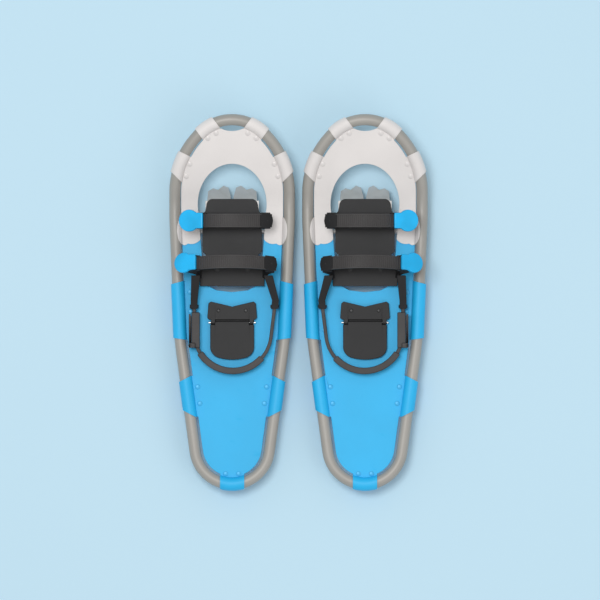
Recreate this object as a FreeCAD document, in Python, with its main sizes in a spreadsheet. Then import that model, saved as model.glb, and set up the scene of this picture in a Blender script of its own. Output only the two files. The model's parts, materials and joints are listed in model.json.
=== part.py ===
import FreeCAD, Part
import math
import os

from FreeCAD import Placement, Rotation, Vector

# A pair of tubular-frame snowshoes.  +X is across the pair, +Y runs towards the
# toes and +Z is up.  The origin lies midway between the shoes, in the plane that
# the crampon points stand on.  The left shoe is modelled about its own centre
# line and placed by half the pair's spacing; the right shoe mirrors it.

DIMENSIONS = [
    # the pair and the frame
    ("pair_spacing", 224, "centre line to centre line"),
    ("shoe_length", 635, "nose of the tube to the tail wrap"),
    ("shoe_width", 212, "over the tubes at the widest"),
    ("ride_height", 38, "centre of the tube above the crampon points"),
    ("tube_diameter", 19, ""),
    ("tube_wall", 1.5, ""),
    ("tube_end_gap", 0.4, "between the two tube ends at the tail"),
    ("nose_depth", 122, "toe of the tube's centre line to where it is widest, seen from above"),
    ("nose_tip_radius", 74, "centre line"),
    ("nose_tilt", 16, "degrees that the nose turns up"),
    ("nose_bend_radius", 100, ""),
    ("tail_radius", 63, "centre line of the tail bend"),
    ("front_taper", 2.4, "degrees, rails beside the binding"),
    ("rear_taper", 7.7, "degrees, rails beside the tail"),
    ("rail_blend_radius", 350, ""),
    # the two decks
    ("deck_thickness", 1.8, ""),
    ("wrap_gap", 0.3, "tube to the inside of a wrap"),
    ("wrap_thickness", 1.6, ""),
    ("front_edge_gap", 1.2, "front deck's edge to the rails"),
    ("nose_edge_gap", 2.8, "front deck's edge to the nose"),
    ("rear_edge_gap", 3.6, "rear deck's edge to the tube"),
    ("toe_hole_half_width", 58, ""),
    ("toe_hole_front", 234, "front end of the toe hole"),
    ("toe_hole_rear", 18, "rear end of the toe hole"),
    ("toe_hole_shoulder", 166, "where the toe hole is widest"),
    ("lobe_rear", 99, "rear end of the front deck's lobes"),
    ("tail_wrap_half_width", 20.5, ""),
    ("rivet_diameter", 4.8, ""),
    ("rivet_head", 9, "diameter"),
    ("rivet_head_height", 1.2, ""),
    ("hole_clearance", 0.1, "radial, rivet in its hole"),
    # the pivot
    ("axle_diameter", 8, ""),
    ("axle_position", 120, "ahead of the shoe's middle"),
    ("axle_height", 31.5, ""),
    ("axle_half_length", 83, ""),
    ("axle_clearance", 0.05, "radial, in its bushes and clamps"),
    ("clamp_width", 22, "along the rail"),
    # the binding
    ("crampon_steel", 2.5, ""),
    ("crampon_half_width", 45, ""),
    ("crampon_rear", 100, ""),
    ("crampon_front", 172, ""),
    ("claw_reach", 26.3, "claw tips ahead of the crampon's front"),
    ("plate_bottom", 44, ""),
    ("plate_thickness", 3.5, ""),
    ("plate_half_width", 50, ""),
    ("plate_front", 175, ""),
    ("plate_rear", 36, ""),
    ("harness_floor", 2.5, ""),
    ("harness_wall", 3, ""),
    ("toe_strap_position", 138, ""),
    ("toe_strap_radius", 110, "inside of the arch"),
    ("toe_strap_centre", -6.4, "height of the arch's centre"),
    ("toe_strap_inner_end", 66, "across, from the centre line"),
    ("toe_buckle_start", 42.5, "across, from the centre line"),
    ("toe_paddle_radius", 18.5, ""),
    ("toe_paddle_reach", 25.3, "buckle's start to the paddle's centre"),
    ("instep_strap_position", 56, ""),
    ("instep_strap_radius", 118, ""),
    ("instep_strap_centre", 0, ""),
    ("instep_strap_inner_end", 73, ""),
    ("instep_buckle_start", 53.5, ""),
    ("instep_paddle_radius", 17.2, ""),
    ("instep_paddle_reach", 23, ""),
    ("instep_lean", 11, "degrees that the instep strap leans to the toe"),
    ("strap_width", 22.4, ""),
    ("strap_thickness", 2.4, ""),
    ("rib_height", 1.2, ""),
    ("rib_width", 2.2, ""),
    ("rib_pitch", 4.6, ""),
    # the ratchet buckles, in their own frame
    ("buckle_length", 34, ""),
    ("buckle_width", 26, ""),
    ("buckle_floor", 2, ""),
    ("buckle_wall", 1.5, ""),
    ("strap_gap", 0.6, "strap to the buckle's floor"),
    ("lever_pin_diameter", 4, ""),
    ("lever_pin_along", 7, ""),
    ("lever_pin_height", 9, ""),
    ("pawl_pin_diameter", 3, ""),
    ("pawl_pin_along", 24, ""),
    ("pawl_pin_height", 7, ""),
    ("pin_clearance", 0.05, "radial"),
    ("lever_bottom", 13.2, ""),
    ("lever_thickness", 4, ""),
    ("lever_neck_width", 26.4, ""),
    # the heel strap
    ("heel_loop_radius", 65, "centre line of the strap behind the heel"),
    ("heel_loop_offset", 1, "centre of the loop, across"),
    ("heel_loop_position", -50, "centre of the loop, along the shoe"),
    ("heel_loop_splay", 7, "degrees that the inner run leans out"),
    ("heel_strap_thickness", 6, ""),
    ("heel_strap_bottom", 43, ""),
    ("heel_strap_height", 14, ""),
    ("heel_strap_front", -2, "ends of the strap inside the yoke's arms"),
    ("heel_pad_width", 11, ""),
    ("heel_fit", 0.3, "strap in its pad, buckle and arms"),
    ("heel_buckle_front", -16, ""),
    ("heel_buckle_rear", -76, ""),
    # the heel plate and the climbing lifter
    ("heel_wing_half_width", 42, ""),
    ("heel_wing_front", 2, ""),
    ("heel_wing_rear", -28.5, ""),
    ("heel_top", 46, "height that the boot's heel rests at"),
    ("heel_notch", 8.5, "depth of the V"),
    ("lifter_half_width", 37, ""),
    ("lifter_rear", -96, ""),
    ("lifter_pin_position", -33.5, ""),
    ("lifter_pin_height", 43.3, ""),
    ("lifter_pin_diameter", 3.4, ""),
    ("tray_thickness", 2, ""),
    ("lifter_gap", 0.4, ""),
    ("heel_crampon_half_width", 30, ""),
    ("heel_crampon_front", -4, ""),
    ("heel_crampon_rear", -98, ""),
]

doc = FreeCAD.newDocument("Snowshoes")
sheet = doc.addObject("Spreadsheet::Sheet", "Dims")
for row, (alias, number, note) in enumerate(DIMENSIONS, start=1):
    sheet.set(f"A{row}", alias)
    sheet.set(f"B{row}", str(number))
    sheet.set(f"C{row}", note)
    sheet.setAlias(f"B{row}", alias)
doc.recompute()


def size(alias):
    """The value of a cell of the sheet."""
    return float(sheet.get(alias))


# ---------------------------------------------------------------- small helpers

MID = Placement(Vector(0, 0, 0), Rotation())


def box(low, high):
    """A block between two corners."""
    span = Vector(*high) - Vector(*low)
    return Part.makeBox(span.x, span.y, span.z, Vector(*low))


def both_sides(shape):
    """The shape and its mirror image across the shoe."""
    return [shape, shape.mirror(Vector(0, 0, 0), Vector(1, 0, 0))]


def plan_prism(points, bottom, top):
    """A closed outline seen from above, raised from bottom to top."""
    corners = [Vector(x, y, bottom) for x, y in points]
    wire = Part.makePolygon(corners + corners[:1])
    return Part.Face(wire).extrude(Vector(0, 0, top - bottom))


def ellipse_prism(x, y, half_x, half_y, bottom, top):
    """An upright elliptic cylinder."""
    if half_x >= half_y:
        curve = Part.Ellipse(Vector(x, y, bottom), half_x, half_y).toShape()
    else:
        curve = Part.Ellipse(Vector(0, 0, 0), half_y, half_x).toShape()
        curve.Placement = Placement(Vector(x, y, bottom), Rotation(Vector(0, 0, 1), 90))
    return Part.Face(Part.Wire(curve)).extrude(Vector(0, 0, top - bottom))


def across_prism(points, low_x, high_x):
    """A closed outline of (y, z) points, raised across the shoe."""
    corners = [Vector(low_x, y, z) for y, z in points]
    wire = Part.makePolygon(corners + corners[:1])
    return Part.Face(wire).extrude(Vector(high_x - low_x, 0, 0))


def union(shapes):
    """One solid from several that touch or overlap."""
    return shapes[0].multiFuse(shapes[1:]).removeSplitter()


LEFT_PIECES = []


def feature(label, shape):
    """A piece of the left shoe whose shape is worked out in code."""
    piece = doc.addObject("Part::Feature", "left_" + label)
    piece.Label = "left_" + label
    piece.Shape = shape
    settle(piece, MID)
    return piece


def settle(piece, place):
    """Put a finished piece in the left shoe."""
    half = Placement(Vector(-size("pair_spacing") / 2, 0, 0), Rotation())
    piece.Placement = half.multiply(place)
    LEFT_PIECES.append(piece)


def new_body(label):
    """An empty PartDesign body for a piece of the left shoe."""
    body = doc.addObject("PartDesign::Body", "left_" + label)
    body.Label = "left_" + label
    return body


def sketch(body, name, role, edges, offset=Vector(0, 0, 0)):
    """A sketch of the given edges on one of the body's own planes."""
    plane = next(item for item in body.Origin.OriginFeatures if item.Role == role)
    drawing = body.newObject("Sketcher::SketchObject", body.Name + "_" + name)
    drawing.AttachmentSupport = [(plane, "")]
    drawing.MapMode = "FlatFace"
    drawing.AttachmentOffset = Placement(offset, Rotation())
    for edge in edges:
        drawing.addGeometry(edge, False)
    return drawing


def chain(points):
    """Straight edges that close an outline."""
    corners = [Vector(x, y, 0) for x, y in points]
    return [Part.LineSegment(a, b) for a, b in zip(corners, corners[1:] + corners[:1])]


def arc(start, middle, end):
    """A round edge through three points of a sketch."""
    return Part.Arc(*(Vector(x, y, 0) for x, y in (start, middle, end)))


def line(start, end):
    """A straight edge between two points of a sketch."""
    return Part.LineSegment(Vector(*start, 0), Vector(*end, 0))


def circle(x, y, radius):
    """A whole circle of a sketch."""
    return Part.Circle(Vector(x, y, 0), Vector(0, 0, 1), radius)


def pad(body, drawing, length, symmetric=False, reverse=False):
    """Raise a sketch; length is an expression on the sheet."""
    result = body.newObject("PartDesign::Pad", drawing.Name + "_pad")
    result.Profile = drawing
    result.SideType = "Symmetric" if symmetric else "One side"
    result.Reversed = reverse
    result.setExpression("Length", length)
    return result


def pocket(body, drawing, length, symmetric=False, reverse=False):
    """Cut a sketch away and make sure that it cut something."""
    before = body.Shape.Volume
    result = body.newObject("PartDesign::Pocket", drawing.Name + "_cut")
    result.Profile = drawing
    result.SideType = "Symmetric" if symmetric else "One side"
    result.Reversed = reverse
    result.setExpression("Length", length)
    doc.recompute()
    if body.Shape.Volume >= before:
        raise RuntimeError(drawing.Name + " cuts nothing")
    return result


# ---------------------------------------------------------------- the frame's path

TUBE = size("tube_diameter") / 2
RIDE = size("ride_height")
HALF = size("shoe_width") / 2 - TUBE
TILT = math.radians(size("nose_tilt"))
BEND = size("nose_bend_radius")
FRONT_TAPER = math.radians(size("front_taper"))
REAR_TAPER = math.radians(size("rear_taper"))
TAIL = size("tail_radius")
WRAP_IN = TUBE + size("wrap_gap")
WRAP_OUT = WRAP_IN + size("wrap_thickness")
NOSE_STRAIGHT = 2
NOSE_DEPTH = size("nose_depth")
BEND_LEAD = 15

nose_tip_y = size("shoe_length") / 2 - TUBE
nose_centre_y = nose_tip_y - NOSE_DEPTH
bend_end_y = nose_centre_y - NOSE_STRAIGHT * math.cos(TILT)
bend_start_y = bend_end_y - BEND * math.sin(TILT)
bend_rise = BEND * (1 - math.cos(TILT))
taper_y = bend_start_y - BEND_LEAD
tail_centre_y = WRAP_OUT + TAIL - size("shoe_length") / 2


def on_nose(x, ahead):
    """A point of the tilted nose plane, measured from the end of the bend."""
    return Vector(x, bend_end_y + ahead * math.cos(TILT), RIDE + bend_rise + ahead * math.sin(TILT))


def corner(before, at, after, radius):
    """A tangent arc that rounds the corner between two straight runs."""
    back = (before - at).normalize()
    ahead = (after - at).normalize()
    half_turn = (math.pi - back.getAngle(ahead)) / 2
    reach = radius * math.tan(half_turn)
    inward = (back + ahead).normalize()
    middle = at + inward * (radius / math.cos(half_turn) - radius)
    return at + back * reach, middle, at + ahead * reach


def nose_arcs():
    """The toe arc and the shoulder arc, which meet smoothly on the tilted plane."""
    depth = NOSE_DEPTH / math.cos(TILT)
    toe_radius = size("nose_tip_radius")
    toe_centre = depth - toe_radius
    side_radius = (HALF ** 2 + toe_centre ** 2 - toe_radius ** 2) / (2 * (HALF - toe_radius))
    meeting = math.atan2(side_radius - HALF, toe_centre)
    arcs = []
    for centre_x, centre, radius, start, end in (
            (0, toe_centre, toe_radius, 0, meeting),
            (HALF - side_radius, 0, side_radius, meeting, math.pi / 2)):
        arcs.append(Part.Arc(*[
            on_nose(centre_x + radius * math.sin(a), NOSE_STRAIGHT + centre + radius * math.cos(a))
            for a in (start, (start + end) / 2, end)]).toShape())
    return arcs


def rail_edges(end_gap):
    """The right half of the tube's centre line, from the nose to the tail."""
    side = on_nose(HALF, NOSE_STRAIGHT)
    bend_end = on_nose(HALF, 0)
    half_bend = Vector(HALF, bend_start_y + BEND * math.sin(TILT / 2),
                       RIDE + BEND * (1 - math.cos(TILT / 2)))
    bend_start = Vector(HALF, bend_start_y, RIDE)
    taper = Vector(HALF, taper_y, RIDE)
    tail_start = Vector(TAIL * math.cos(REAR_TAPER), tail_centre_y - TAIL * math.sin(REAR_TAPER), RIDE)
    # the waist is where the front and the rear rail lines cross
    slope_front = math.tan(FRONT_TAPER)
    slope_rear = math.tan(REAR_TAPER)
    waist_y = ((taper.x - slope_front * taper.y) - (tail_start.x - slope_rear * tail_start.y))
    waist_y /= slope_rear - slope_front
    waist = Vector(taper.x + slope_front * (waist_y - taper.y), waist_y, RIDE)
    blend = size("rail_blend_radius")
    taper_arc = corner(bend_start, taper, waist, blend)
    waist_arc = corner(taper, waist, tail_start, blend)
    tail_low = math.pi / 4
    tail_mid = Vector(TAIL * math.cos(tail_low), tail_centre_y - TAIL * math.sin(tail_low), RIDE)
    open_angle = end_gap / 2 / TAIL
    tail_end = Vector(TAIL * math.sin(open_angle), tail_centre_y - TAIL * math.cos(open_angle), RIDE)
    return [
        *nose_arcs(),
        Part.LineSegment(side, bend_end).toShape(),
        Part.Arc(bend_end, half_bend, bend_start).toShape(),
        Part.LineSegment(bend_start, taper_arc[0]).toShape(),
        Part.Arc(*taper_arc).toShape(),
        Part.LineSegment(taper_arc[2], waist_arc[0]).toShape(),
        Part.Arc(*waist_arc).toShape(),
        Part.LineSegment(waist_arc[2], tail_start).toShape(),
        Part.Arc(tail_start, tail_mid, tail_end).toShape(),
    ]


RAIL = rail_edges(0)
NOSE_RUN = RAIL[:5]        # down to the bend's end
BINDING_RUN = RAIL[4:7]    # beside the binding
REAR_RUN = RAIL[4:]


def half_pipe(edges, radius):
    """A solid round bar along part of the right rail."""
    first = edges[0]
    start = first.valueAt(first.FirstParameter)
    heading = first.tangentAt(first.FirstParameter)
    section = Part.Face(Part.Wire(Part.Circle(start, heading, radius).toShape()))
    return Part.Wire(edges).makePipe(section)


def rail_x(y):
    """How far the tube's centre line stands out beside the binding."""
    return HALF - (taper_y - y) * math.tan(FRONT_TAPER)


def make_frame_tube():
    """One closed loop of tube, open by a hair at the tail."""
    path = rail_edges(size("tube_end_gap"))
    outer = half_pipe(path, TUBE)
    inner = half_pipe(path, TUBE - size("tube_wall"))
    halves = both_sides(outer.cut(inner))
    tube = halves[0].fuse(halves[1]).removeSplitter()
    hole = size("rivet_diameter") / 2 + size("hole_clearance")
    for side in (1, -1):
        place = Vector(side * rail_x(size("axle_position")), size("axle_position"), 0)
        tube = tube.cut(Part.makeCylinder(hole, RIDE, place))
    feature("frame_tube", tube)


def make_tail_plug():
    """A short curved plug inside both tube ends."""
    radius = TUBE - size("tube_wall") - size("hole_clearance")
    reach = math.radians(16)
    ends = [Vector(TAIL * math.sin(a), tail_centre_y - TAIL * math.cos(a), RIDE) for a in (-reach, 0, reach)]
    path = Part.Arc(*ends).toShape()
    section = Part.Face(Part.Wire(Part.Circle(ends[0], path.tangentAt(path.FirstParameter), radius).toShape()))
    feature("tail_plug", Part.Wire([path]).makePipe(section))


# ---------------------------------------------------------------- the two decks

TOP = RIDE + 60
LOW = RIDE - 30
DECK = size("deck_thickness")
FRONT_SEAT = 0.2      # the front deck lies this far above the rear deck
FLAP_REACH = 22       # how far a wrap's return flap runs in from the tube
NOSE_TAB = ((14, 18), (36, 36))       # degrees round the nose of each cut, inside and outside the tube
SIDE_TAB = ((57, 58), (81, 75))
SIDE_WRAP = (31.7, -59.8)     # along the shoe, on the tube's outer side
SIDE_FLARE = (5, 2.5)         # how much further each cut lies on the inner side
WAIST_WRAP = (-132.8, -182.3)
WAIST_FLARE = (9.9, 9.9)
TAIL_FLAP = 24


def inside_prism():
    """Everything within the tube's centre line, seen from above."""
    points = []
    for edge in RAIL:
        stops = edge.discretize(2 if isinstance(edge.Curve, Part.Line) else 17)
        points += [(stop.x, stop.y) for stop in stops[:-1]]
    points.append((0, tail_centre_y - TAIL))
    mirrored = [(-x, y) for x, y in reversed(points[1:-1])]
    return plan_prism(points + mirrored, LOW, TOP)


def sheet_layer(bottom, top):
    """A sheet that follows the frame's side view, between two heights above the tube's centre."""
    far = nose_tip_y + 30
    run = (far - bend_end_y) / math.cos(TILT)
    middle = TILT / 2

    def flat(height):
        return Vector(-HALF, -far, RIDE + height)

    def on_bend(angle, height):
        radius = BEND - height
        return Vector(-HALF, bend_start_y + radius * math.sin(angle), RIDE + BEND - radius * math.cos(angle))

    def tip(height):
        end = on_bend(TILT, height)
        return end + Vector(0, run * math.cos(TILT), run * math.sin(TILT))

    edges = [
        Part.LineSegment(flat(bottom), on_bend(0, bottom)),
        Part.Arc(on_bend(0, bottom), on_bend(middle, bottom), on_bend(TILT, bottom)),
        Part.LineSegment(on_bend(TILT, bottom), tip(bottom)),
        Part.LineSegment(tip(bottom), tip(top)),
        Part.LineSegment(tip(top), on_bend(TILT, top)),
        Part.Arc(on_bend(TILT, top), on_bend(middle, top), on_bend(0, top)),
        Part.LineSegment(on_bend(0, top), flat(top)),
        Part.LineSegment(flat(top), flat(bottom)),
    ]
    face = Part.Face(Part.Wire([edge.toShape() for edge in edges]))
    return face.extrude(Vector(2 * HALF, 0, 0))


def round_nose(degrees, out):
    """A plan point beside the nose's centre line, some way round from the toe and out from it."""
    angle = math.radians(degrees)
    return Vector((HALF + out) * math.sin(angle), nose_centre_y + (NOSE_DEPTH + out) * math.cos(angle), 0)


def cut_line(inner, outer):
    """A wrap's cut across the tube, run on past both sides of it."""
    across = outer - inner
    return [inner - across * ((FLAP_REACH - TUBE) / (2 * TUBE)), outer + across * 0.6]


def nose_sector(start, end):
    """A wedge of the nose between two cuts, on the right."""
    first = cut_line(round_nose(start[0], -TUBE), round_nose(start[1], TUBE))
    last = cut_line(round_nose(end[0], -TUBE), round_nose(end[1], TUBE))
    return plan_prism([(point.x, point.y) for point in first + last[::-1]], LOW, TOP)


def rail_block(wrap_ends, flares, flap):
    """A plan block over the right rail between two flared cuts, with a flap of that depth inside."""
    points = []
    for y, flare in zip(wrap_ends, (flares[0], -flares[1])):
        rail = rail_line(y)
        inner = Vector(rail - TUBE, y + flare, 0)
        outer = Vector(rail + TUBE, y, 0)
        end = [(point.x, point.y) for point in (inner - Vector(flap, 0, 0), inner, cut_line(inner, outer)[1])]
        points += end if not points else end[::-1]
    return plan_prism(points, LOW, TOP)


def toe_hole():
    """The long opening that the toe swings down through."""
    half = size("toe_hole_half_width")
    shoulder = size("toe_hole_shoulder")
    rear = size("toe_hole_rear")
    depth = size("toe_hole_front") - shoulder
    rear_half = half * 0.76
    narrow = half * 0.86
    arch = ellipse_prism(0, shoulder, half, depth, LOW, TOP)
    sides = plan_prism([(-half, shoulder), (half, shoulder), (narrow, rear + 45), (rear_half, rear + 12),
                        (rear_half * 0.6, rear + 3), (0, rear), (-rear_half * 0.6, rear + 3),
                        (-rear_half, rear + 12), (-narrow, rear + 45)], LOW, TOP)
    return arch.fuse(sides).removeSplitter()


INSIDE = inside_prism()
HOLE = toe_hole()
FRONT_LAYER = sheet_layer(FRONT_SEAT, FRONT_SEAT + DECK)
REAR_LAYER = sheet_layer(-DECK, 0)


def wrap(edges, blocks):
    """The rings of deck material round the right tube inside the blocks."""
    ring = half_pipe(edges, WRAP_OUT).cut(half_pipe(edges, WRAP_IN))
    return [ring.common(block) for block in blocks]


def make_front_deck():
    """The nose deck: a sheet, four wraps with return flaps and two lobes with lips."""
    tabs = [nose_sector(*NOSE_TAB), nose_sector(*SIDE_TAB)]
    front_run = NOSE_RUN + BINDING_RUN[1:]
    tube_room = half_pipe(front_run, TUBE + size("front_edge_gap"))
    tab_room = half_pipe(front_run, WRAP_IN)
    nose_room = half_pipe(RAIL[:2], TUBE + size("nose_edge_gap"))
    nose_room = nose_room.common(box((0, round_nose(69, 0).y, LOW), (2 * HALF, 2 * nose_tip_y, TOP)))
    field = FRONT_LAYER.common(INSIDE).common(box((0, 115, LOW), (HALF, nose_tip_y, TOP)))
    lobe_half = (HALF - size("toe_hole_half_width")) / 2
    lobe_x = HALF - TUBE - 0.5 - (HALF - TUBE - size("toe_hole_half_width") + 6) / 2
    lobe = ellipse_prism(lobe_x, 118, lobe_half, 118 - size("lobe_rear"), LOW, TOP)
    field = field.fuse(FRONT_LAYER.common(lobe))
    grab = ellipse_prism(0, nose_tip_y - 8, 23, 11, LOW, TOP)
    main = field.cut(tube_room).cut(nose_room).cut(HOLE).cut(grab)
    pieces = [main]
    flap_layer = sheet_layer(FRONT_SEAT - DECK, FRONT_SEAT + DECK)
    for tab, ring in zip(tabs, wrap(NOSE_RUN, tabs)):
        pieces.append(flap_layer.common(INSIDE).common(tab).cut(tab_room))
        pieces.append(ring)
    lip_block = ellipse_prism(HALF - 16, 122, 12.5, 25, RIDE + FRONT_SEAT, TOP)
    pieces += wrap(BINDING_RUN, [lip_block])
    pieces.append(FRONT_LAYER.common(lip_block).cut(tab_room))
    half = union(pieces)
    deck = union(both_sides(half))
    feature("front_deck", drill(deck, front_rivets()))


def make_rear_deck():
    """The tail deck: a sheet with two arms, two side wraps, two waist wraps and a tail wrap."""
    tabs = [
        rail_block(SIDE_WRAP, SIDE_FLARE, FLAP_REACH - TUBE + 4),
        rail_block(WAIST_WRAP, WAIST_FLARE, FLAP_REACH - TUBE + 4),
        box((0, tail_centre_y - TAIL - 2 * WRAP_OUT, LOW),
            (size("tail_wrap_half_width"), tail_centre_y - TAIL + TAIL_FLAP, TOP)),
    ]
    arm_room = half_pipe(BINDING_RUN, TUBE + size("front_edge_gap"))
    tail_room = half_pipe(REAR_RUN, TUBE + size("rear_edge_gap"))
    tab_room = half_pipe(REAR_RUN, WRAP_IN)
    field = REAR_LAYER.common(INSIDE).common(box((0, -HALF * 4, LOW), (HALF, 112, TOP)))
    arms = field.common(box((0, SIDE_WRAP[0], LOW), (HALF, 200, TOP))).cut(arm_room)
    body = field.common(box((0, -HALF * 4, LOW), (HALF, SIDE_WRAP[0], TOP))).cut(tail_room)
    pieces = [arms, body]
    flap_layer = sheet_layer(-2 * DECK, 0)
    for tab, ring in zip(tabs, wrap(REAR_RUN, tabs)):
        pieces.append(flap_layer.common(INSIDE).common(tab).cut(tab_room))
        pieces.append(ring)
    half = union(pieces)
    deck = union(both_sides(half)).cut(HOLE)
    feature("rear_deck", drill(deck, rear_rivets() + heel_rivets()))


# ---------------------------------------------------------------- rivets

SHANK = size("rivet_diameter") / 2
HEAD = size("rivet_head") / 2
HEAD_HEIGHT = size("rivet_head_height")


def rivet(top, down, grip):
    """A rivet with its head at top, pointing along down, through a stack of the given grip."""
    head = Part.makeCone(HEAD * 0.7, HEAD, HEAD_HEIGHT, top - down * HEAD_HEIGHT, down)
    shank = Part.makeCylinder(SHANK, grip, top, down)
    tail = Part.makeCone(HEAD * 0.75, HEAD * 0.6, HEAD_HEIGHT, top + down * grip, down)
    return head.fuse([shank, tail]).removeSplitter()


def flush_rivet(top, down, grip, rise=0.2):
    """A rivet whose head is let into the top layer, with a tail below."""
    sunk = top + down * rise
    shank = Part.makeCylinder(SHANK, grip - rise, sunk, down)
    tail = Part.makeCone(HEAD * 0.75, HEAD * 0.6, HEAD_HEIGHT, top + down * grip, down)
    return shank.fuse(tail).removeSplitter()


def drill(shape, places):
    """Cut a clear hole for the shank of each rivet."""
    radius = SHANK + size("hole_clearance")
    for top, down, grip in places:
        shape = shape.cut(Part.makeCylinder(radius, grip + 4, top - down * 2, down))
    return shape


def front_rivets():
    """Two rivets through each wrap's flap on the nose, right and left."""
    places = []
    down = Vector(0, math.sin(TILT), -math.cos(TILT))
    for start, end in (NOSE_TAB, SIDE_TAB):
        for share in (0.25, 0.75):
            spot = round_nose(start[0] + (end[0] - start[0]) * share, -WRAP_OUT - 5)
            for side in (1, -1):
                seat = on_nose(side * spot.x, (spot.y - bend_end_y) / math.cos(TILT))
                places.append((seat - down * (FRONT_SEAT + DECK), down, 2 * DECK))
    return places


def rear_rivets():
    """Rivets through the flaps of the side, waist and tail wraps."""
    down = Vector(0, 0, -1)
    places = []
    for y, inset in ((18, 20), (-15, 20), (-46, 20), (-142, 19), (-170, 19)):
        x = rail_line(y) - inset
        for side in (1, -1):
            places.append((Vector(side * x, y, RIDE), down, 2 * DECK))
    for side in (1, -1):
        place = Vector(side * 11, tail_centre_y - TAIL + WRAP_OUT + 6, RIDE)
        places.append((place, down, 2 * DECK))
    return places


def rail_line(y):
    """How far the tube's centre line stands out at any place along the shoe."""
    probe = Part.makeLine(Vector(0, y, RIDE), Vector(2 * HALF, y, RIDE))
    for edge in REAR_RUN:
        distance, points, _ = edge.distToShape(probe)
        if distance < 1e-4:
            return points[0][0].x
    raise ValueError("no rail at this place")


def heel_rivets():
    """Rivets through the heel plate, the deck and the heel crampon."""
    down = Vector(0, 0, -1)
    front_y = (size("heel_wing_front") + size("heel_wing_rear")) / 2
    rear_y = size("lifter_rear") + 16
    steel = size("crampon_steel")
    places = []
    for side in (1, -1):
        top = Vector(side * 23, front_y, size("heel_top"))
        places.append((top, down, size("heel_top") - RIDE + DECK + steel))
        top = Vector(side * 20, rear_y, RIDE + size("tray_thickness"))
        places.append((top, down, size("tray_thickness") + DECK + steel))
    return places


def make_deck_rivets():
    """All the rivets of one shoe's decks, clamps and heel plate."""
    rivets = [rivet(*place) for place in front_rivets() + rear_rivets()]
    rivets += [flush_rivet(*place) for place in heel_rivets()]
    y = size("axle_position")
    for side in (1, -1):
        seat = Vector(side * rail_x(y), y, CLAMP_BOTTOM)
        rivets.append(rivet(seat, Vector(0, 0, 1), RIDE - TUBE + size("tube_wall") - CLAMP_BOTTOM + 0.6))
    feature("deck_rivets", Part.makeCompound(rivets))


# ---------------------------------------------------------------- the pivot

AXLE = size("axle_diameter") / 2
AXLE_Y = size("axle_position")
AXLE_Z = size("axle_height")
CLAMP_BOTTOM = AXLE_Z - 7.5
CLAMP_TOP = RIDE - DECK - 0.3


def make_pivot_clamps():
    """A saddle under each rail with a blind bore for the axle."""
    half = size("clamp_width") / 2
    x = rail_x(AXLE_Y)
    inner = x - 26
    block = box((inner, AXLE_Y - half, CLAMP_BOTTOM), (x + 7, AXLE_Y + half, CLAMP_TOP))
    tube = half_pipe(BINDING_RUN, TUBE + size("hole_clearance"))
    bore = Part.makeCylinder(AXLE + size("axle_clearance"), size("axle_half_length") + 0.5 - inner,
                             Vector(inner, AXLE_Y, AXLE_Z), Vector(1, 0, 0))
    screw = Part.makeCylinder(SHANK + size("hole_clearance"), RIDE, Vector(x, AXLE_Y, 0))
    clamp = block.cut(tube).cut(bore).cut(screw)
    feature("pivot_clamps", Part.makeCompound(both_sides(clamp)))


def make_pivot_axle():
    """The cross rod, a plain cylinder."""
    rod = doc.addObject("Part::Cylinder", "left_pivot_axle")
    rod.Label = "left_pivot_axle"
    rod.setExpression("Radius", "Dims.axle_diameter / 2")
    rod.setExpression("Height", "2 * Dims.axle_half_length")
    half = size("axle_half_length")
    settle(rod, Placement(Vector(-half, AXLE_Y, AXLE_Z), Rotation(Vector(0, 1, 0), 90)))


def make_pivot_bushings():
    """A flanged bush in each side wall of the toe crampon."""
    x = size("crampon_half_width")
    steel = size("crampon_steel")
    place = Vector(x - steel - 1.5, AXLE_Y, AXLE_Z)
    across = Vector(1, 0, 0)
    sleeve = Part.makeCylinder(AXLE + 2, steel + 3, place, across)
    flange = Part.makeCylinder(AXLE + 4, 1.5, place, across)
    bore = Part.makeCylinder(AXLE + size("axle_clearance"), steel + 6, place - across, across)
    bush = sleeve.fuse(flange).removeSplitter().cut(bore)
    feature("pivot_bushings", Part.makeCompound(both_sides(bush)))


# ---------------------------------------------------------------- the toe crampon

PLATE_Z = size("plate_bottom")
STEEL = size("crampon_steel")
TOOTH_ROOT = 21
TOOTH_HALF = 8
TOOTH_TIP = 1.5


def toothed_wall(front, rear, top, teeth, outer_x, root=TOOTH_ROOT):
    """An upright steel wall with pointed teeth that stand on the ground."""
    points = [(rear, top), (rear, root)]
    for y in sorted(teeth):
        points += [(y - TOOTH_HALF, root), (y - TOOTH_TIP, 0), (y + TOOTH_TIP, 0), (y + TOOTH_HALF, root)]
    points += [(front, root), (front, top)]
    return across_prism(points, outer_x - STEEL, outer_x)


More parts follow.
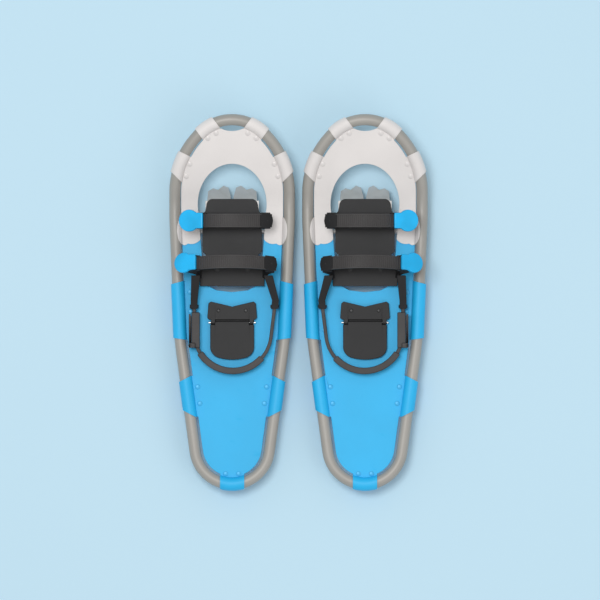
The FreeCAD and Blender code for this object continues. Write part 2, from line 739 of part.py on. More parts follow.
def make_toe_crampon():
    """A folded channel with bushed side walls and two claws that slope down ahead."""
    half = size("crampon_half_width")
    front = size("crampon_front")
    rear = size("crampon_rear")
    top_plate = box((0, rear, PLATE_Z - STEEL), (half, front, PLATE_Z))
    wall = toothed_wall(front - 6, rear, PLATE_Z, (rear + 9, front - 30), half)
    bore = Part.makeCylinder(AXLE + 2 + size("pin_clearance"), 20, Vector(half - 10, AXLE_Y, AXLE_Z), Vector(1, 0, 0))
    boss = Part.makeCylinder(AXLE + 6, STEEL, Vector(half - STEEL, AXLE_Y, AXLE_Z), Vector(1, 0, 0))
    wall = wall.fuse(boss.common(box((0, rear, 0), (half, front, PLATE_Z))))
    # the claw is drawn flat, across and along its slope, then folded down
    reach = size("claw_reach")
    drop = PLATE_Z - 1
    slope = math.hypot(reach, drop)
    outline = [(2.4, 0.30), (6.5, 0.87), (15, 1.0), (24, 0.72), (33, 0.82), (41, 0.62), (42, 0)]
    corners = [Vector(2.4, 0, 0)] + [Vector(x, share * slope, 0) for x, share in outline]
    claw = Part.Face(Part.makePolygon(corners + corners[:1])).extrude(Vector(0, 0, STEEL))
    fold = math.degrees(math.atan2(drop, reach))
    claw.Placement = Placement(Vector(0, front, PLATE_Z), Rotation(Vector(1, 0, 0), -fold)).multiply(
        Placement(Vector(0, 0, -STEEL), Rotation()))
    claw = claw.common(box((0, front - 5, 0), (half, front + reach + 5, PLATE_Z)))
    root = box((2.4, front - 2 * STEEL, PLATE_Z - STEEL), (42, front, PLATE_Z))
    right = union([top_plate, wall, root, claw]).cut(bore)
    crampon = union(both_sides(right))
    feature("toe_crampon", drill(crampon, floor_rivets()[:4]))


def floor_rivets():
    """Rivets through the harness and the yoke into the plate and the crampon."""
    down = Vector(0, 0, -1)
    top = PLATE_Z + size("plate_thickness") + size("harness_floor")
    full = top - PLATE_Z + STEEL
    short = top - PLATE_Z
    places = []
    for x, y, grip in ((25, size("toe_strap_position") - 8, full), (25, size("toe_strap_position") + 8, full),
                       (26, size("instep_strap_position"), short)):
        for side in (1, -1):
            places.append((Vector(side * x, y, top), down, grip))
    return places


def make_binding_plate():
    """The stiff plate under the boot, waisted ahead of the yoke and tapered at the toe."""
    body = new_body("binding_plate")
    half = size("plate_half_width")
    front = size("plate_front")
    rear = size("plate_rear")
    right = [(half * 0.87, front - 12), (half * 0.91, front - 21), (half, front - 26), (half, 86),
             (half * 0.89, 81), (half * 0.89, rear + 6), (half * 0.78, rear)]
    toe = [(half * 0.69, front), (half * 0.82, front - 4)]
    left = [(-x, y) for x, y in reversed(right)]
    edges = chain(right + left)[:-1]
    edges.append(line(toe[0], (-toe[0][0], front)))
    for side in (1, -1):
        edges.append(arc(*[(side * x, y) for x, y in (*toe, right[0])]))
    outline = sketch(body, "outline", "XY_Plane", edges, Vector(0, 0, PLATE_Z))
    pad(body, outline, "Dims.plate_thickness")
    doc.recompute()
    radius = SHANK + size("hole_clearance")
    holes = [circle(place[0].x, place[0].y, radius) for place in floor_rivets()]
    drilled = sketch(body, "rivet_holes", "XY_Plane", holes, Vector(0, 0, PLATE_Z))
    pocket(body, drilled, "Dims.plate_thickness", reverse=True)
    settle(body, MID)


# ---------------------------------------------------------------- straps and wings

STRAP = size("strap_thickness")
FLOOR_TOP = PLATE_Z + size("plate_thickness") + size("harness_floor")
WING_GAP = 0.3         # a strap over the flat pad of its wing


class Arch:
    """The arch of one ladder strap in the upright plane across the shoe."""

    def __init__(self, name):
        self.name = name
        self.radius = size(name + "_strap_radius")
        self.centre = size(name + "_strap_centre")
        self.y = size(name + "_strap_position")
        self.inner_end = size(name + "_strap_inner_end")
        self.start = size(name + "_buckle_start")
        self.slope = math.asin(self.start / self.radius)

    def point(self, angle, lift):
        """A point (x, z) at an angle from the top, positive to the inner side."""
        radius = self.radius + lift
        return (radius * math.sin(angle), self.centre + radius * math.cos(angle))

    def buckle_point(self, along, lift):
        """A point (x, z) in the buckle's frame, whose origin is where the strap runs straight."""
        x = -self.start - along * math.cos(self.slope) - lift * math.sin(self.slope)
        z = self.centre + self.radius * math.cos(self.slope)
        return (x, z - along * math.sin(self.slope) + lift * math.cos(self.slope))

    def buckle_place(self):
        """The placement of the buckle's frame: along, across, up."""
        x, z = self.buckle_point(0, 0)
        along = Vector(-math.cos(self.slope), 0, -math.sin(self.slope))
        up = Vector(-math.sin(self.slope), 0, math.cos(self.slope))
        return Placement(Vector(x, self.y, z), Rotation(along, up.cross(along), up, "ZXY"))

    def lean(self):
        """The turn that leans the whole strap towards the toe."""
        degrees = size("instep_lean") if self.name == "instep" else 0
        base = Vector(0, self.y, FLOOR_TOP)
        turn = Placement(base, Rotation(Vector(1, 0, 0), -degrees))
        return turn.multiply(Placement(-base, Rotation()))


TOE = Arch("toe")
INSTEP = Arch("instep")


def make_strap(arch):
    """A ladder strap: a band with cross ribs, straight where it passes the buckle."""
    body = new_body(arch.name + "_strap")
    end = math.asin(arch.inner_end / arch.radius)
    start = -arch.slope
    middle = (start + end) / 2
    tail = size("buckle_length") + 6
    edges = [
        arc(arch.point(start, 0), arch.point(middle, 0), arch.point(end, 0)),
        line(arch.point(end, 0), arch.point(end, STRAP)),
        arc(arch.point(end, STRAP), arch.point(middle, STRAP), arch.point(start, STRAP)),
        line(arch.point(start, STRAP), arch.buckle_point(tail, STRAP)),
        line(arch.buckle_point(tail, STRAP), arch.buckle_point(tail, 0)),
        line(arch.buckle_point(tail, 0), arch.point(start, 0)),
    ]
    band = sketch(body, "band", "XZ_Plane", edges, Vector(0, 0, -arch.y))
    pad(body, band, "Dims.strap_width", symmetric=True)
    # the ribs are ranged round the arch's centre, so the sketch's origin lies there
    rib_half = size("rib_width") / 2
    low = arch.radius + STRAP - 0.3
    high = arch.radius + STRAP + size("rib_height")
    rib_points = [(-rib_half, low), (rib_half, low), (rib_half * 0.6, high), (-rib_half * 0.6, high)]
    turned = []
    first = -start - size("rib_pitch") / arch.radius
    for x, z in rib_points:
        turned.append((x * math.cos(first) - z * math.sin(first), x * math.sin(first) + z * math.cos(first)))
    rib = sketch(body, "rib", "XZ_Plane", chain(turned), Vector(0, arch.centre, -arch.y))
    rib_pad = pad(body, rib, "Dims.strap_width - 3", symmetric=True)
    doc.recompute()
    span = end - start - 2 * size("rib_pitch") / arch.radius - 14 / arch.radius
    count = int(span * arch.radius / size("rib_pitch")) + 1
    pattern = body.newObject("PartDesign::PolarPattern", body.Name + "_ribs")
    pattern.Originals = [rib_pad]
    pattern.Axis = (rib, ["N_Axis"])
    pattern.Reversed = True
    pattern.Angle = math.degrees((count - 1) * size("rib_pitch") / arch.radius)
    pattern.Occurrences = count
    body.Tip = pattern
    doc.recompute()
    drill_body(body, [strap_rivet(arch)], body.Shape.Volume)
    settle(body, arch.lean())


def strap_rivet(arch):
    """The rivet that holds a strap's inner end to its wing."""
    angle = math.asin((arch.inner_end - 8) / arch.radius)
    x, z = arch.point(angle, STRAP)
    down = Vector(-math.sin(angle), 0, -math.cos(angle))
    return (Vector(x, arch.y, z), down, STRAP + WING_GAP + size("harness_wall") + 0.35)


def buckle_rivet(arch):
    """The flush rivet that holds a buckle's floor to its wing."""
    x, z = arch.buckle_point(15, -size("strap_gap"))
    down = Vector(math.sin(arch.slope), 0, -math.cos(arch.slope))
    return (Vector(x, arch.y, z), down, size("buckle_floor") + size("harness_wall"))


def wing_profile(arch, half_floor, knee_x, knee_z):
    """The closed outline (x, z) of a floor with two wings that end in flat pads."""
    wall = size("harness_wall")
    floor_low = FLOOR_TOP - size("harness_floor")
    lift = -size("strap_gap") - size("buckle_floor")
    left_top = [arch.buckle_point(along, lift) for along in (8, 24)]
    left_under = [arch.buckle_point(along, lift - wall) for along in (8, 22)]
    end = math.asin(arch.inner_end / arch.radius)
    near = math.asin((arch.inner_end - 16) / arch.radius)
    right_top = [arch.point(near, -WING_GAP), arch.point(end - 0.01, -WING_GAP)]
    right_under = [arch.point(near, -WING_GAP - wall), arch.point(end - 0.04, -WING_GAP - wall)]
    return [
        (half_floor, floor_low), (knee_x, knee_z), right_top[1], right_top[0], right_under[0], right_under[1],
        (knee_x - wall, knee_z + 1), (half_floor - wall, FLOOR_TOP),
        (wall - half_floor, FLOOR_TOP), (wall - knee_x, knee_z + 1), left_under[1], left_under[0],
        left_top[0], left_top[1], (-knee_x, knee_z), (-half_floor, floor_low),
    ]


def make_toe_harness():
    """The moulded saddle with the two toe wings."""
    body = new_body("toe_harness")
    profile = wing_profile(TOE, size("plate_half_width") + 1, 54, 72)
    outline = sketch(body, "profile", "XZ_Plane", chain(profile), Vector(0, 0, -TOE.y))
    pad(body, outline, "Dims.strap_width + 5", symmetric=True)
    doc.recompute()
    holes = floor_rivets()[:4] + [strap_rivet(TOE), buckle_rivet(TOE)]
    drill_body(body, holes, body.Shape.Volume)
    settle(body, MID)


def drill_body(body, holes, before):
    """Cut rivet holes from a body with one subtractive cylinder each."""
    for index, (top, down, grip) in enumerate(holes):
        cut = body.newObject("PartDesign::SubtractiveCylinder", f"{body.Name}_hole{index}")
        cut.setExpression("Radius", "Dims.rivet_diameter / 2 + Dims.hole_clearance")
        cut.Height = grip + 4
        place = Placement(top - down * 2, Rotation(Vector(0, 0, 1), down))
        cut.AttachmentOffset = place
        cut.Placement = place
    doc.recompute()
    if body.Shape.Volume >= before:
        raise RuntimeError(body.Name + " was not drilled")


YOKE_FRONT = 75
YOKE_REAR = 28
ARM_FRONT = 46
ARM_KNEE = 4
ARM_END = -10.5
ARM_HALF = 5.8
ARM_ROOT_HALF = 7.5
ARM_LOW = size("heel_strap_bottom") - 1
ARM_HIGH = size("heel_strap_bottom") + size("heel_strap_height") + 2.5


def heel_run(side, y):
    """The centre line of the heel strap's straight run: side -1 is the outer one."""
    radius = size("heel_loop_radius")
    offset = size("heel_loop_offset")
    if side < 0:
        return offset - radius
    splay = math.radians(size("heel_loop_splay"))
    x = offset + radius * math.cos(splay)
    start_y = size("heel_loop_position") - radius * math.sin(splay)
    return x + (y - start_y) * math.tan(splay)


def make_heel_yoke():
    """The moulded rear saddle: floor, two wings and an arm to each end of the heel strap."""
    half = size("plate_half_width") + 5
    profile = wing_profile(INSTEP, half, 62, 78)
    corners = [Vector(x, INSTEP.y + 14, z) for x, z in profile]
    saddle = Part.Face(Part.makePolygon(corners + corners[:1])).extrude(Vector(0, -28, 0))
    saddle.Placement = INSTEP.lean()
    floor_low = FLOOR_TOP - size("harness_floor")
    inner = half - size("harness_wall") - 0.5
    saddle = saddle.cut(box((-80, 0, 0), (80, 200, floor_low)))
    saddle = saddle.cut(box((-inner, 0, 0), (inner, 200, FLOOR_TOP + 10)))
    floor = box((0.5 - half, YOKE_REAR, floor_low), (half - 0.5, YOKE_FRONT, FLOOR_TOP))
    parts = [saddle, floor]
    fit = size("heel_fit")
    for side in (1, -1):
        stations = []
        for y, x, wide, low, high in (
                (ARM_FRONT, side * (half + 6), ARM_ROOT_HALF, floor_low + 1.5, 76),
                (ARM_KNEE, heel_run(side, ARM_KNEE), ARM_HALF, ARM_LOW, ARM_HIGH + 3),
                (ARM_END, heel_run(side, ARM_END), ARM_HALF, ARM_LOW, ARM_HIGH)):
            ring = [Vector(x + dx, y, z) for dx, z in ((-wide, low), (wide, low), (wide, high), (-wide, high))]
            stations.append(Part.makePolygon(ring + ring[:1]))
        parts.append(Part.makeLoft(stations[:2], True, True))
        parts.append(Part.makeLoft(stations[1:], True, True))
    yoke = union(parts)
    yoke = yoke.cut(heel_band(size("heel_strap_thickness") + 2 * fit, fit))
    yoke = drill(yoke, floor_rivets()[4:] + yoke_rivets())
    feature("heel_yoke", yoke)


def leaned(arch, place):
    """A rivet's place turned with its leaning strap."""
    top, down, grip = place
    lean = arch.lean()
    return (lean.multVec(top), lean.Rotation.multVec(down), grip)


def yoke_rivets():
    """The rivets of the instep strap and its buckle, and one across each arm."""
    places = [leaned(INSTEP, strap_rivet(INSTEP)), leaned(INSTEP, buckle_rivet(INSTEP))]
    z = size("heel_strap_bottom") + size("heel_strap_height") / 2
    for side in (1, -1):
        y = ARM_END + 4.3
        reach = ARM_HALF + 0.7
        x = heel_run(side, y) + side * reach
        places.append((Vector(x, y, z), Vector(-side, 0, 0), 2 * reach))
    return places


def make_binding_rivets():
    """All the rivets that turn with the binding."""
    rivets = [rivet(*place) for place in floor_rivets()]
    for arch in (TOE, INSTEP):
        rivets.append(rivet(*leaned(arch, strap_rivet(arch))))
        rivets.append(flush_rivet(*leaned(arch, buckle_rivet(arch))))
    rivets += [rivet(*place) for place in yoke_rivets()[2:]]
    feature("binding_rivets", Part.makeCompound(rivets))


# ---------------------------------------------------------------- the heel strap

def heel_band(thickness, grow):
    """The strap's loop seen from above, thickness wide and raised to its height."""
    radius = size("heel_loop_radius")
    centre = Vector(size("heel_loop_offset"), size("heel_loop_position"), 0)
    splay = math.radians(size("heel_loop_splay"))
    front = size("heel_strap_front") + grow

    def ring(offset):
        r = radius + offset
        start = centre + Vector(r * math.cos(splay), -r * math.sin(splay), 0)
        run = (front - start.y) / math.cos(splay)
        inner_end = start + Vector(math.sin(splay), math.cos(splay), 0) * run
        outer = centre + Vector(-r, 0, 0)
        return inner_end, start, centre + Vector(0, -r, 0), outer, Vector(outer.x, front, 0)

    out = ring(thickness / 2)
    inn = ring(-thickness / 2)
    edges = [
        Part.LineSegment(out[0], out[1]), Part.Arc(out[1], out[2], out[3]), Part.LineSegment(out[3], out[4]),
        Part.LineSegment(out[4], inn[4]), Part.LineSegment(inn[4], inn[3]), Part.Arc(inn[3], inn[2], inn[1]),
        Part.LineSegment(inn[1], inn[0]), Part.LineSegment(inn[0], out[0]),
    ]
    face = Part.Face(Part.Wire([edge.toShape() for edge in edges]))
    solid = face.extrude(Vector(0, 0, size("heel_strap_height") + 2 * grow))
    solid.translate(Vector(0, 0, size("heel_strap_bottom") - grow))
    return solid


def make_heel_strap():
    """The strap on edge round the heel."""
    band = heel_band(size("heel_strap_thickness"), 0)
    feature("heel_strap", drill(band, yoke_rivets()[2:]))


def make_heel_pad():
    """The thicker sleeve on the strap behind the heel."""
    body = new_body("heel_pad")
    radius = size("heel_loop_radius")
    half = size("heel_pad_width") / 2
    cx = size("heel_loop_offset")
    cy = size("heel_loop_position")

    def at(degrees, r):
        angle = math.radians(degrees)
        return (cx + r * math.cos(angle), cy + r * math.sin(angle))

    first, last = -41, -148
    middle = (first + last) / 2
    edges = [
        arc(at(first, radius + half), at(middle, radius + half), at(last, radius + half)),
        line(at(last, radius + half), at(last, radius - half)),
        arc(at(last, radius - half), at(middle, radius - half), at(first, radius - half)),
        line(at(first, radius - half), at(first, radius + half)),
    ]
    height = size("heel_strap_bottom") - 2.5
    outline = sketch(body, "outline", "XY_Plane", edges, Vector(0, 0, height))
    pad(body, outline, "Dims.heel_strap_height + 5")
    slot_half = size("heel_strap_thickness") / 2 + size("heel_fit")
    slot = [
        arc(at(first + 3, radius + slot_half), at(middle, radius + slot_half), at(last - 3, radius + slot_half)),
        line(at(last - 3, radius + slot_half), at(last - 3, radius - slot_half)),
        arc(at(last - 3, radius - slot_half), at(middle, radius - slot_half), at(first + 3, radius - slot_half)),
        line(at(first + 3, radius - slot_half), at(first + 3, radius + slot_half)),
    ]
    doc.recompute()
    channel = sketch(body, "channel", "XY_Plane", slot, Vector(0, 0, size("heel_strap_bottom") - size("heel_fit")))
    pocket(body, channel, "Dims.heel_strap_height + 2 * Dims.heel_fit", reverse=True)
    settle(body, MID)


LEVER_SIDE = 4.5       # depth of the cam lever beside the heel buckle
LEVER_LOW = 51
LEVER_HIGH = 60
HEEL_PIN_Y = size("heel_buckle_rear") + 4


def make_heel_buckle():
    """The block that the outer run passes through, with two ears for its cam lever."""
    x = heel_run(-1, 0)
    fit = size("heel_fit")
    low = size("heel_strap_bottom") - 2
    high = LEVER_HIGH + 3
    front = size("heel_buckle_front")
    rear = size("heel_buckle_rear")
    block = box((x - 4.5, rear, low), (x + 9.5, front, LEVER_HIGH))
    ears = box((x - 4.5 - LEVER_SIDE, rear, LEVER_LOW - 3.5), (x + 2, rear + 8, high))
    gap = box((x - 4.5 - LEVER_SIDE - 1, rear - 1, LEVER_LOW - 0.3), (x - 4.5, rear + 9, LEVER_HIGH + 0.3))
    pin = Part.makeCylinder(1 + size("pin_clearance"), high, Vector(heel_pin_x(), HEEL_PIN_Y, 0))
    slot = box((x - 3 - fit, rear - 1, size("heel_strap_bottom") - fit),
               (x + 3 + fit, front + 1, size("heel_strap_bottom") + size("heel_strap_height") + fit))
    block = union([block, ears]).cut(gap).cut(slot).cut(pin)
    # the strap leaves the block's rear end on its curve
    sweep = heel_band(size("heel_strap_thickness") + 2 * fit, fit)
    feature("heel_buckle", block.cut(sweep))


def heel_pin_x():
    """Across position of the cam lever's upright pin."""
    return heel_run(-1, 0) - 4.5 - LEVER_SIDE / 2


def make_heel_buckle_lever():
    """The cam lever along the block's outer face."""
    body = new_body("heel_buckle_lever")
    x = heel_run(-1, 0) - 4.5 - 0.3
    low = x - LEVER_SIDE + 0.3
    pin_x = heel_pin_x()
    r = 1.9
    front = size("heel_buckle_front") - 3
    edges = [
        arc((pin_x + r, HEEL_PIN_Y), (pin_x, HEEL_PIN_Y - r), (pin_x - r, HEEL_PIN_Y)),
        line((pin_x - r, HEEL_PIN_Y), (low, HEEL_PIN_Y + 8)),
        line((low, HEEL_PIN_Y + 8), (low, front)),
        line((low, front), (x - 1.2, front)),
        line((x - 1.2, front), (x, front - 4)),
        line((x, front - 4), (x, HEEL_PIN_Y + 8)),
        line((x, HEEL_PIN_Y + 8), (pin_x + r, HEEL_PIN_Y)),
    ]
    outline = sketch(body, "outline", "XY_Plane", edges, Vector(0, 0, LEVER_LOW))
    pad(body, outline, f"{LEVER_HIGH - LEVER_LOW}")
    doc.recompute()
    bore = sketch(body, "bore", "XY_Plane", [circle(pin_x, HEEL_PIN_Y, 1 + size("pin_clearance"))],
                  Vector(0, 0, LEVER_LOW - 1))
    pocket(body, bore, "20", reverse=True)
    settle(body, MID)


# ---------------------------------------------------------------- ratchet buckles
# Each is drawn in its own frame: X along the strap away from the foot, Y across
# the strap and Z away from it.  The frame's origin is where the strap runs straight.

def make_buckle_base(arch):
    """A channel with two ears, bored for the lever's and the pawl's pins."""
    body = new_body(arch.name + "_buckle_base")
    length = size("buckle_length")
    low = -size("strap_gap") - size("buckle_floor")
    floor_top = -size("strap_gap")
    lever_x = size("lever_pin_along")
    lever_z = size("lever_pin_height")
    pawl_x = size("pawl_pin_along")
    pawl_z = size("pawl_pin_height")
    top = size("lever_bottom") - 0.4
    # the ears are round about the lever's pin, because the paddle's neck swings past them
    ear = top - lever_z
    crown = ear * math.sin(math.pi / 4)
    corners = [(lever_x - ear, lever_z), (lever_x - ear, 4.5), (0, 2.5), (0, low), (length, low), (length, 3),
               (pawl_x + 4, pawl_z + 2.6), (lever_x + 5, top), (lever_x, top)]
    side = [line(a, b) for a, b in zip(corners, corners[1:])]
    side.append(arc(corners[-1], (lever_x - crown, lever_z + crown), corners[0]))
    profile = sketch(body, "side", "XZ_Plane", side)
    pad(body, profile, "Dims.buckle_width", symmetric=True)
    doc.recompute()
    room = [(-1, floor_top), (length + 1, floor_top), (length + 1, top + 1), (-1, top + 1)]
    channel = sketch(body, "channel", "XZ_Plane", chain(room))
    pocket(body, channel, "Dims.buckle_width - 2 * Dims.buckle_wall", symmetric=True)
    clearance = size("pin_clearance")
    bores = [circle(lever_x, lever_z, size("lever_pin_diameter") / 2 + clearance),
             circle(pawl_x, pawl_z, size("pawl_pin_diameter") / 2 + clearance)]
    pins = sketch(body, "pin_bores", "XZ_Plane", bores)
    pocket(body, pins, "Dims.buckle_width + 2", symmetric=True)
    hole = sketch(body, "rivet_hole", "XY_Plane", [circle(15, 0, SHANK + size("hole_clearance"))],
                  Vector(0, 0, low - 1))
    pocket(body, hole, "Dims.buckle_floor + 2", reverse=True)
    settle(body, arch.lean().multiply(arch.buckle_place()))


def make_buckle_lever(arch):
    """The round paddle on its neck, with a hub between the ears."""
    body = new_body(arch.name + "_buckle_lever")
    radius = size(arch.name + "_paddle_radius")
    reach = size(arch.name + "_paddle_reach")
    half = size("lever_neck_width") / 2
    pin_x = size("lever_pin_along")
    pin_z = size("lever_pin_height")
    low = size("lever_bottom")
    join = reach - math.sqrt(radius ** 2 - half ** 2)
    front = pin_x - 6
    edges = [
        line((front, -half), (join, -half)),
        arc((join, -half), (reach + radius, 0), (join, half)),
        line((join, half), (front, half)),
        line((front, half), (front, -half)),
    ]
    paddle = sketch(body, "paddle", "XY_Plane", edges, Vector(0, 0, low))
    pad(body, paddle, "Dims.lever_thickness")
    doc.recompute()
    hub_radius = size("lever_pin_diameter") / 2 + 2.2
    web = [
        arc((pin_x - hub_radius, pin_z), (pin_x, pin_z - hub_radius), (pin_x + hub_radius, pin_z)),
        line((pin_x + hub_radius, pin_z), (pin_x + hub_radius, low + 1)),
        line((pin_x + hub_radius, low + 1), (pin_x - hub_radius, low + 1)),
        line((pin_x - hub_radius, low + 1), (pin_x - hub_radius, pin_z)),
    ]
    hub = sketch(body, "hub", "XZ_Plane", web)
    pad(body, hub, "Dims.buckle_width - 2 * Dims.buckle_wall - 0.8", symmetric=True)
    doc.recompute()
    bore = sketch(body, "bore", "XZ_Plane", [circle(pin_x, pin_z, size("lever_pin_diameter") / 2
                                                    + size("pin_clearance"))])
    pocket(body, bore, "Dims.buckle_width + 2", symmetric=True)
    rim = [f"Edge{index}" for index, edge in enumerate(body.Shape.Edges, start=1)
           if edge.BoundBox.ZMin > low + size("lever_thickness") - 0.01]
    tip = body.Tip
    bevel = body.newObject("PartDesign::Chamfer", body.Name + "_rim")
    bevel.Base = (tip, rim)
    bevel.setExpression("Size", "Dims.lever_thickness * 0.2")
    doc.recompute()
    settle(body, arch.lean().multiply(arch.buckle_place()))


def make_buckle_pawl(arch):
    """The small sprung pawl that rests between two ribs."""
    body = new_body(arch.name + "_buckle_pawl")
    x = size("pawl_pin_along")
    z = size("pawl_pin_height")
    rest = STRAP + 0.5
    side = [(x - 6.5, rest), (x - 5.5, rest), (x - 2.2, z - 2.4), (x + 2.4, z - 2.4), (x + 8.5, z + 0.2),
            (x + 8.5, z + 1.8), (x + 2.4, z + 2.6), (x - 2.4, z + 2.4)]
    profile = sketch(body, "side", "XZ_Plane", chain(side))
    pad(body, profile, "Dims.buckle_width - 2 * Dims.buckle_wall - 0.8", symmetric=True)
    doc.recompute()
    bore = sketch(body, "bore", "XZ_Plane", [circle(x, z, size("pawl_pin_diameter") / 2 + size("pin_clearance"))])
    pocket(body, bore, "Dims.buckle_width + 2", symmetric=True)
    settle(body, arch.lean().multiply(arch.buckle_place()))


def make_buckle_pins():
    """The hinge pins of both ratchets and of the heel buckle."""
    pins = []
    width = size("buckle_width")
    for arch in (TOE, INSTEP):
        place = arch.lean().multiply(arch.buckle_place())
        for name in ("lever", "pawl"):
            low = Vector(size(name + "_pin_along"), -width / 2, size(name + "_pin_height"))
            pin = Part.makeCylinder(size(name + "_pin_diameter") / 2, width, low, Vector(0, 1, 0))
            pin.Placement = place.multiply(pin.Placement)
            pins.append(pin)
    low = LEVER_LOW - 3.5
    pins.append(Part.makeCylinder(1, LEVER_HIGH + 3 - low, Vector(heel_pin_x(), HEEL_PIN_Y, low)))
    feature("buckle_pins", Part.makeCompound(pins))


# ---------------------------------------------------------------- the heel

HEEL_TOP = size("heel_top")
PIN_Y = size("lifter_pin_position")
PIN_Z = size("lifter_pin_height")
EAR_INNER = 29
EAR_OUTER = 36
HINGE_ROUND = 3


def u_outline(half, front, rear):
    """Edges of a U-shaped pad: straight sides and a rear end in three arcs."""
    side_y = rear + half * 0.62
    quarter = rear + half * 0.17
    return [
        line((half, front), (half, side_y)),
        arc((half, side_y), (half * 0.9, rear + half * 0.28), (half * 0.62, rear + half * 0.09)),
        arc((half * 0.62, rear + half * 0.09), (0, rear), (-half * 0.62, rear + half * 0.09)),
        arc((-half * 0.62, rear + half * 0.09), (-half * 0.9, rear + half * 0.28), (-half, side_y)),
        line((-half, side_y), (-half, front)),
        line((-half, front), (half, front)),
    ]


def make_heel_plate():
    """The wing with its V, the thin tray behind it and the hinge ears."""
    body = new_body("heel_plate")
    half = size("heel_wing_half_width")
    front = size("heel_wing_front")
    rear = size("heel_wing_rear")
    notch = size("heel_notch")
    right = [(0, front - notch), (half - 6, front), (half - 2, front - 3), (half, rear + 3), (half - 3, rear)]
    left = [(-x, y) for x, y in reversed(right[1:])]
    wing = sketch(body, "wing", "XY_Plane", chain(right + left), Vector(0, 0, RIDE))
    pad(body, wing, "Dims.heel_top - Dims.ride_height")
    tray_edges = u_outline(size("lifter_half_width") - 2, rear + 1, size("lifter_rear") + 2)
    tray = sketch(body, "tray", "XY_Plane", tray_edges, Vector(0, 0, RIDE))
    pad(body, tray, "Dims.tray_thickness")
    doc.recompute()
    ear = [
        line((rear + 1, RIDE), (PIN_Y - HINGE_ROUND, RIDE)),
        line((PIN_Y - HINGE_ROUND, RIDE), (PIN_Y - HINGE_ROUND, PIN_Z)),
        arc((PIN_Y - HINGE_ROUND, PIN_Z), (PIN_Y - HINGE_ROUND * math.sin(math.pi / 4),
                                           PIN_Z + HINGE_ROUND * math.sin(math.pi / 4)),
            (PIN_Y, PIN_Z + HINGE_ROUND)),
        line((PIN_Y, PIN_Z + HINGE_ROUND), (rear + 1, HEEL_TOP)),
        line((rear + 1, HEEL_TOP), (rear + 1, RIDE)),
    ]
    for index, start in enumerate((EAR_INNER, -EAR_OUTER)):
        side = sketch(body, f"ear{index}", "YZ_Plane", ear, Vector(0, 0, start))
        pad(body, side, f"{EAR_OUTER - EAR_INNER}")
    doc.recompute()
    bore = sketch(body, "pin_bore", "YZ_Plane",
                  [circle(PIN_Y, PIN_Z, size("lifter_pin_diameter") / 2 + size("pin_clearance"))])
    pocket(body, bore, "2 * Dims.lifter_half_width + 10", symmetric=True)
    drill_body(body, heel_rivets(), body.Shape.Volume)
    settle(body, MID)


def make_heel_lifter():
    """The U-shaped pad that flips up, with its hinge knuckle between the ears."""
    body = new_body("heel_lifter")
    gap = size("lifter_gap")
    bottom = RIDE + size("tray_thickness") + gap
    edges = u_outline(size("lifter_half_width"), PIN_Y - HINGE_ROUND - gap, size("lifter_rear"))
    outline = sketch(body, "outline", "XY_Plane", edges, Vector(0, 0, bottom))
    pad(body, outline, "Dims.heel_top - Dims.ride_height - Dims.tray_thickness - Dims.lifter_gap")
    doc.recompute()
    r = PIN_Z - bottom
    knuckle_edges = [
        line((PIN_Y - 5, bottom), (PIN_Y, bottom)),
        arc((PIN_Y, bottom), (PIN_Y + r, PIN_Z), (PIN_Y, PIN_Z + r)),
        line((PIN_Y, PIN_Z + r), (PIN_Y - 5, HEEL_TOP)),
        line((PIN_Y - 5, HEEL_TOP), (PIN_Y - 5, bottom)),
    ]
    knuckle = sketch(body, "knuckle", "YZ_Plane", knuckle_edges)
    pad(body, knuckle, f"{2 * (EAR_INNER - gap)}", symmetric=True)
    doc.recompute()
    bore = sketch(body, "pin_bore", "YZ_Plane",
                  [circle(PIN_Y, PIN_Z, size("lifter_pin_diameter") / 2 + size("pin_clearance"))])
    pocket(body, bore, "2 * Dims.lifter_half_width + 10", symmetric=True)
    settle(body, MID)


def make_lifter_pin():
    """The hinge pin, which stands proud of both ears."""
    pin = doc.addObject("Part::Cylinder", "left_lifter_pin")
    pin.Label = "left_lifter_pin"
    half = EAR_OUTER + 3.5
    pin.setExpression("Radius", "Dims.lifter_pin_diameter / 2")
    pin.Height = 2 * half
    settle(pin, Placement(Vector(-half, PIN_Y, PIN_Z), Rotation(Vector(0, 1, 0), 90)))


def make_heel_crampon():
    """A folded channel with toothed side walls, riveted under the rear deck."""
    half = size("heel_crampon_half_width")
    front = size("heel_crampon_front")
    rear = size("heel_crampon_rear")
    top = RIDE - DECK
    teeth = [rear + (front - rear) * share for share in (0.14, 0.5, 0.86)]
    plate = box((0, rear, top - STEEL), (half, front, top))
    wall = toothed_wall(front, rear, top, teeth, half)
    crampon = union(both_sides(plate.fuse(wall).removeSplitter()))
    feature("heel_crampon", drill(crampon, heel_rivets()))


# ---------------------------------------------------------------- the whole pair

def make_left_shoe():
    """Every piece of the left shoe."""
    make_frame_tube()
    make_tail_plug()
    make_front_deck()
    make_rear_deck()
    make_deck_rivets()
    make_pivot_clamps()
    make_pivot_axle()
    make_pivot_bushings()
    make_toe_crampon()
    make_binding_plate()
    make_toe_harness()
    make_heel_yoke()
    make_binding_rivets()
    for arch in (TOE, INSTEP):
        make_strap(arch)
        make_buckle_base(arch)
        make_buckle_lever(arch)
        make_buckle_pawl(arch)
    make_buckle_pins()
    make_heel_strap()
    make_heel_pad()
    make_heel_buckle()
    make_heel_buckle_lever()
    make_heel_plate()
    make_heel_lifter()
    make_lifter_pin()
    make_heel_crampon()


def mirror_shoe():
    """The right shoe: each piece mirrored in the plane between the shoes."""
    pieces = []
    for source in LEFT_PIECES:
        name = source.Label.replace("left_", "right_")
        twin = doc.addObject("Part::Mirroring", name)
        twin.Label = name
        twin.Source = source
        twin.Normal = (1, 0, 0)
        twin.Base = (0, 0, 0)
        pieces.append(twin)
    return pieces


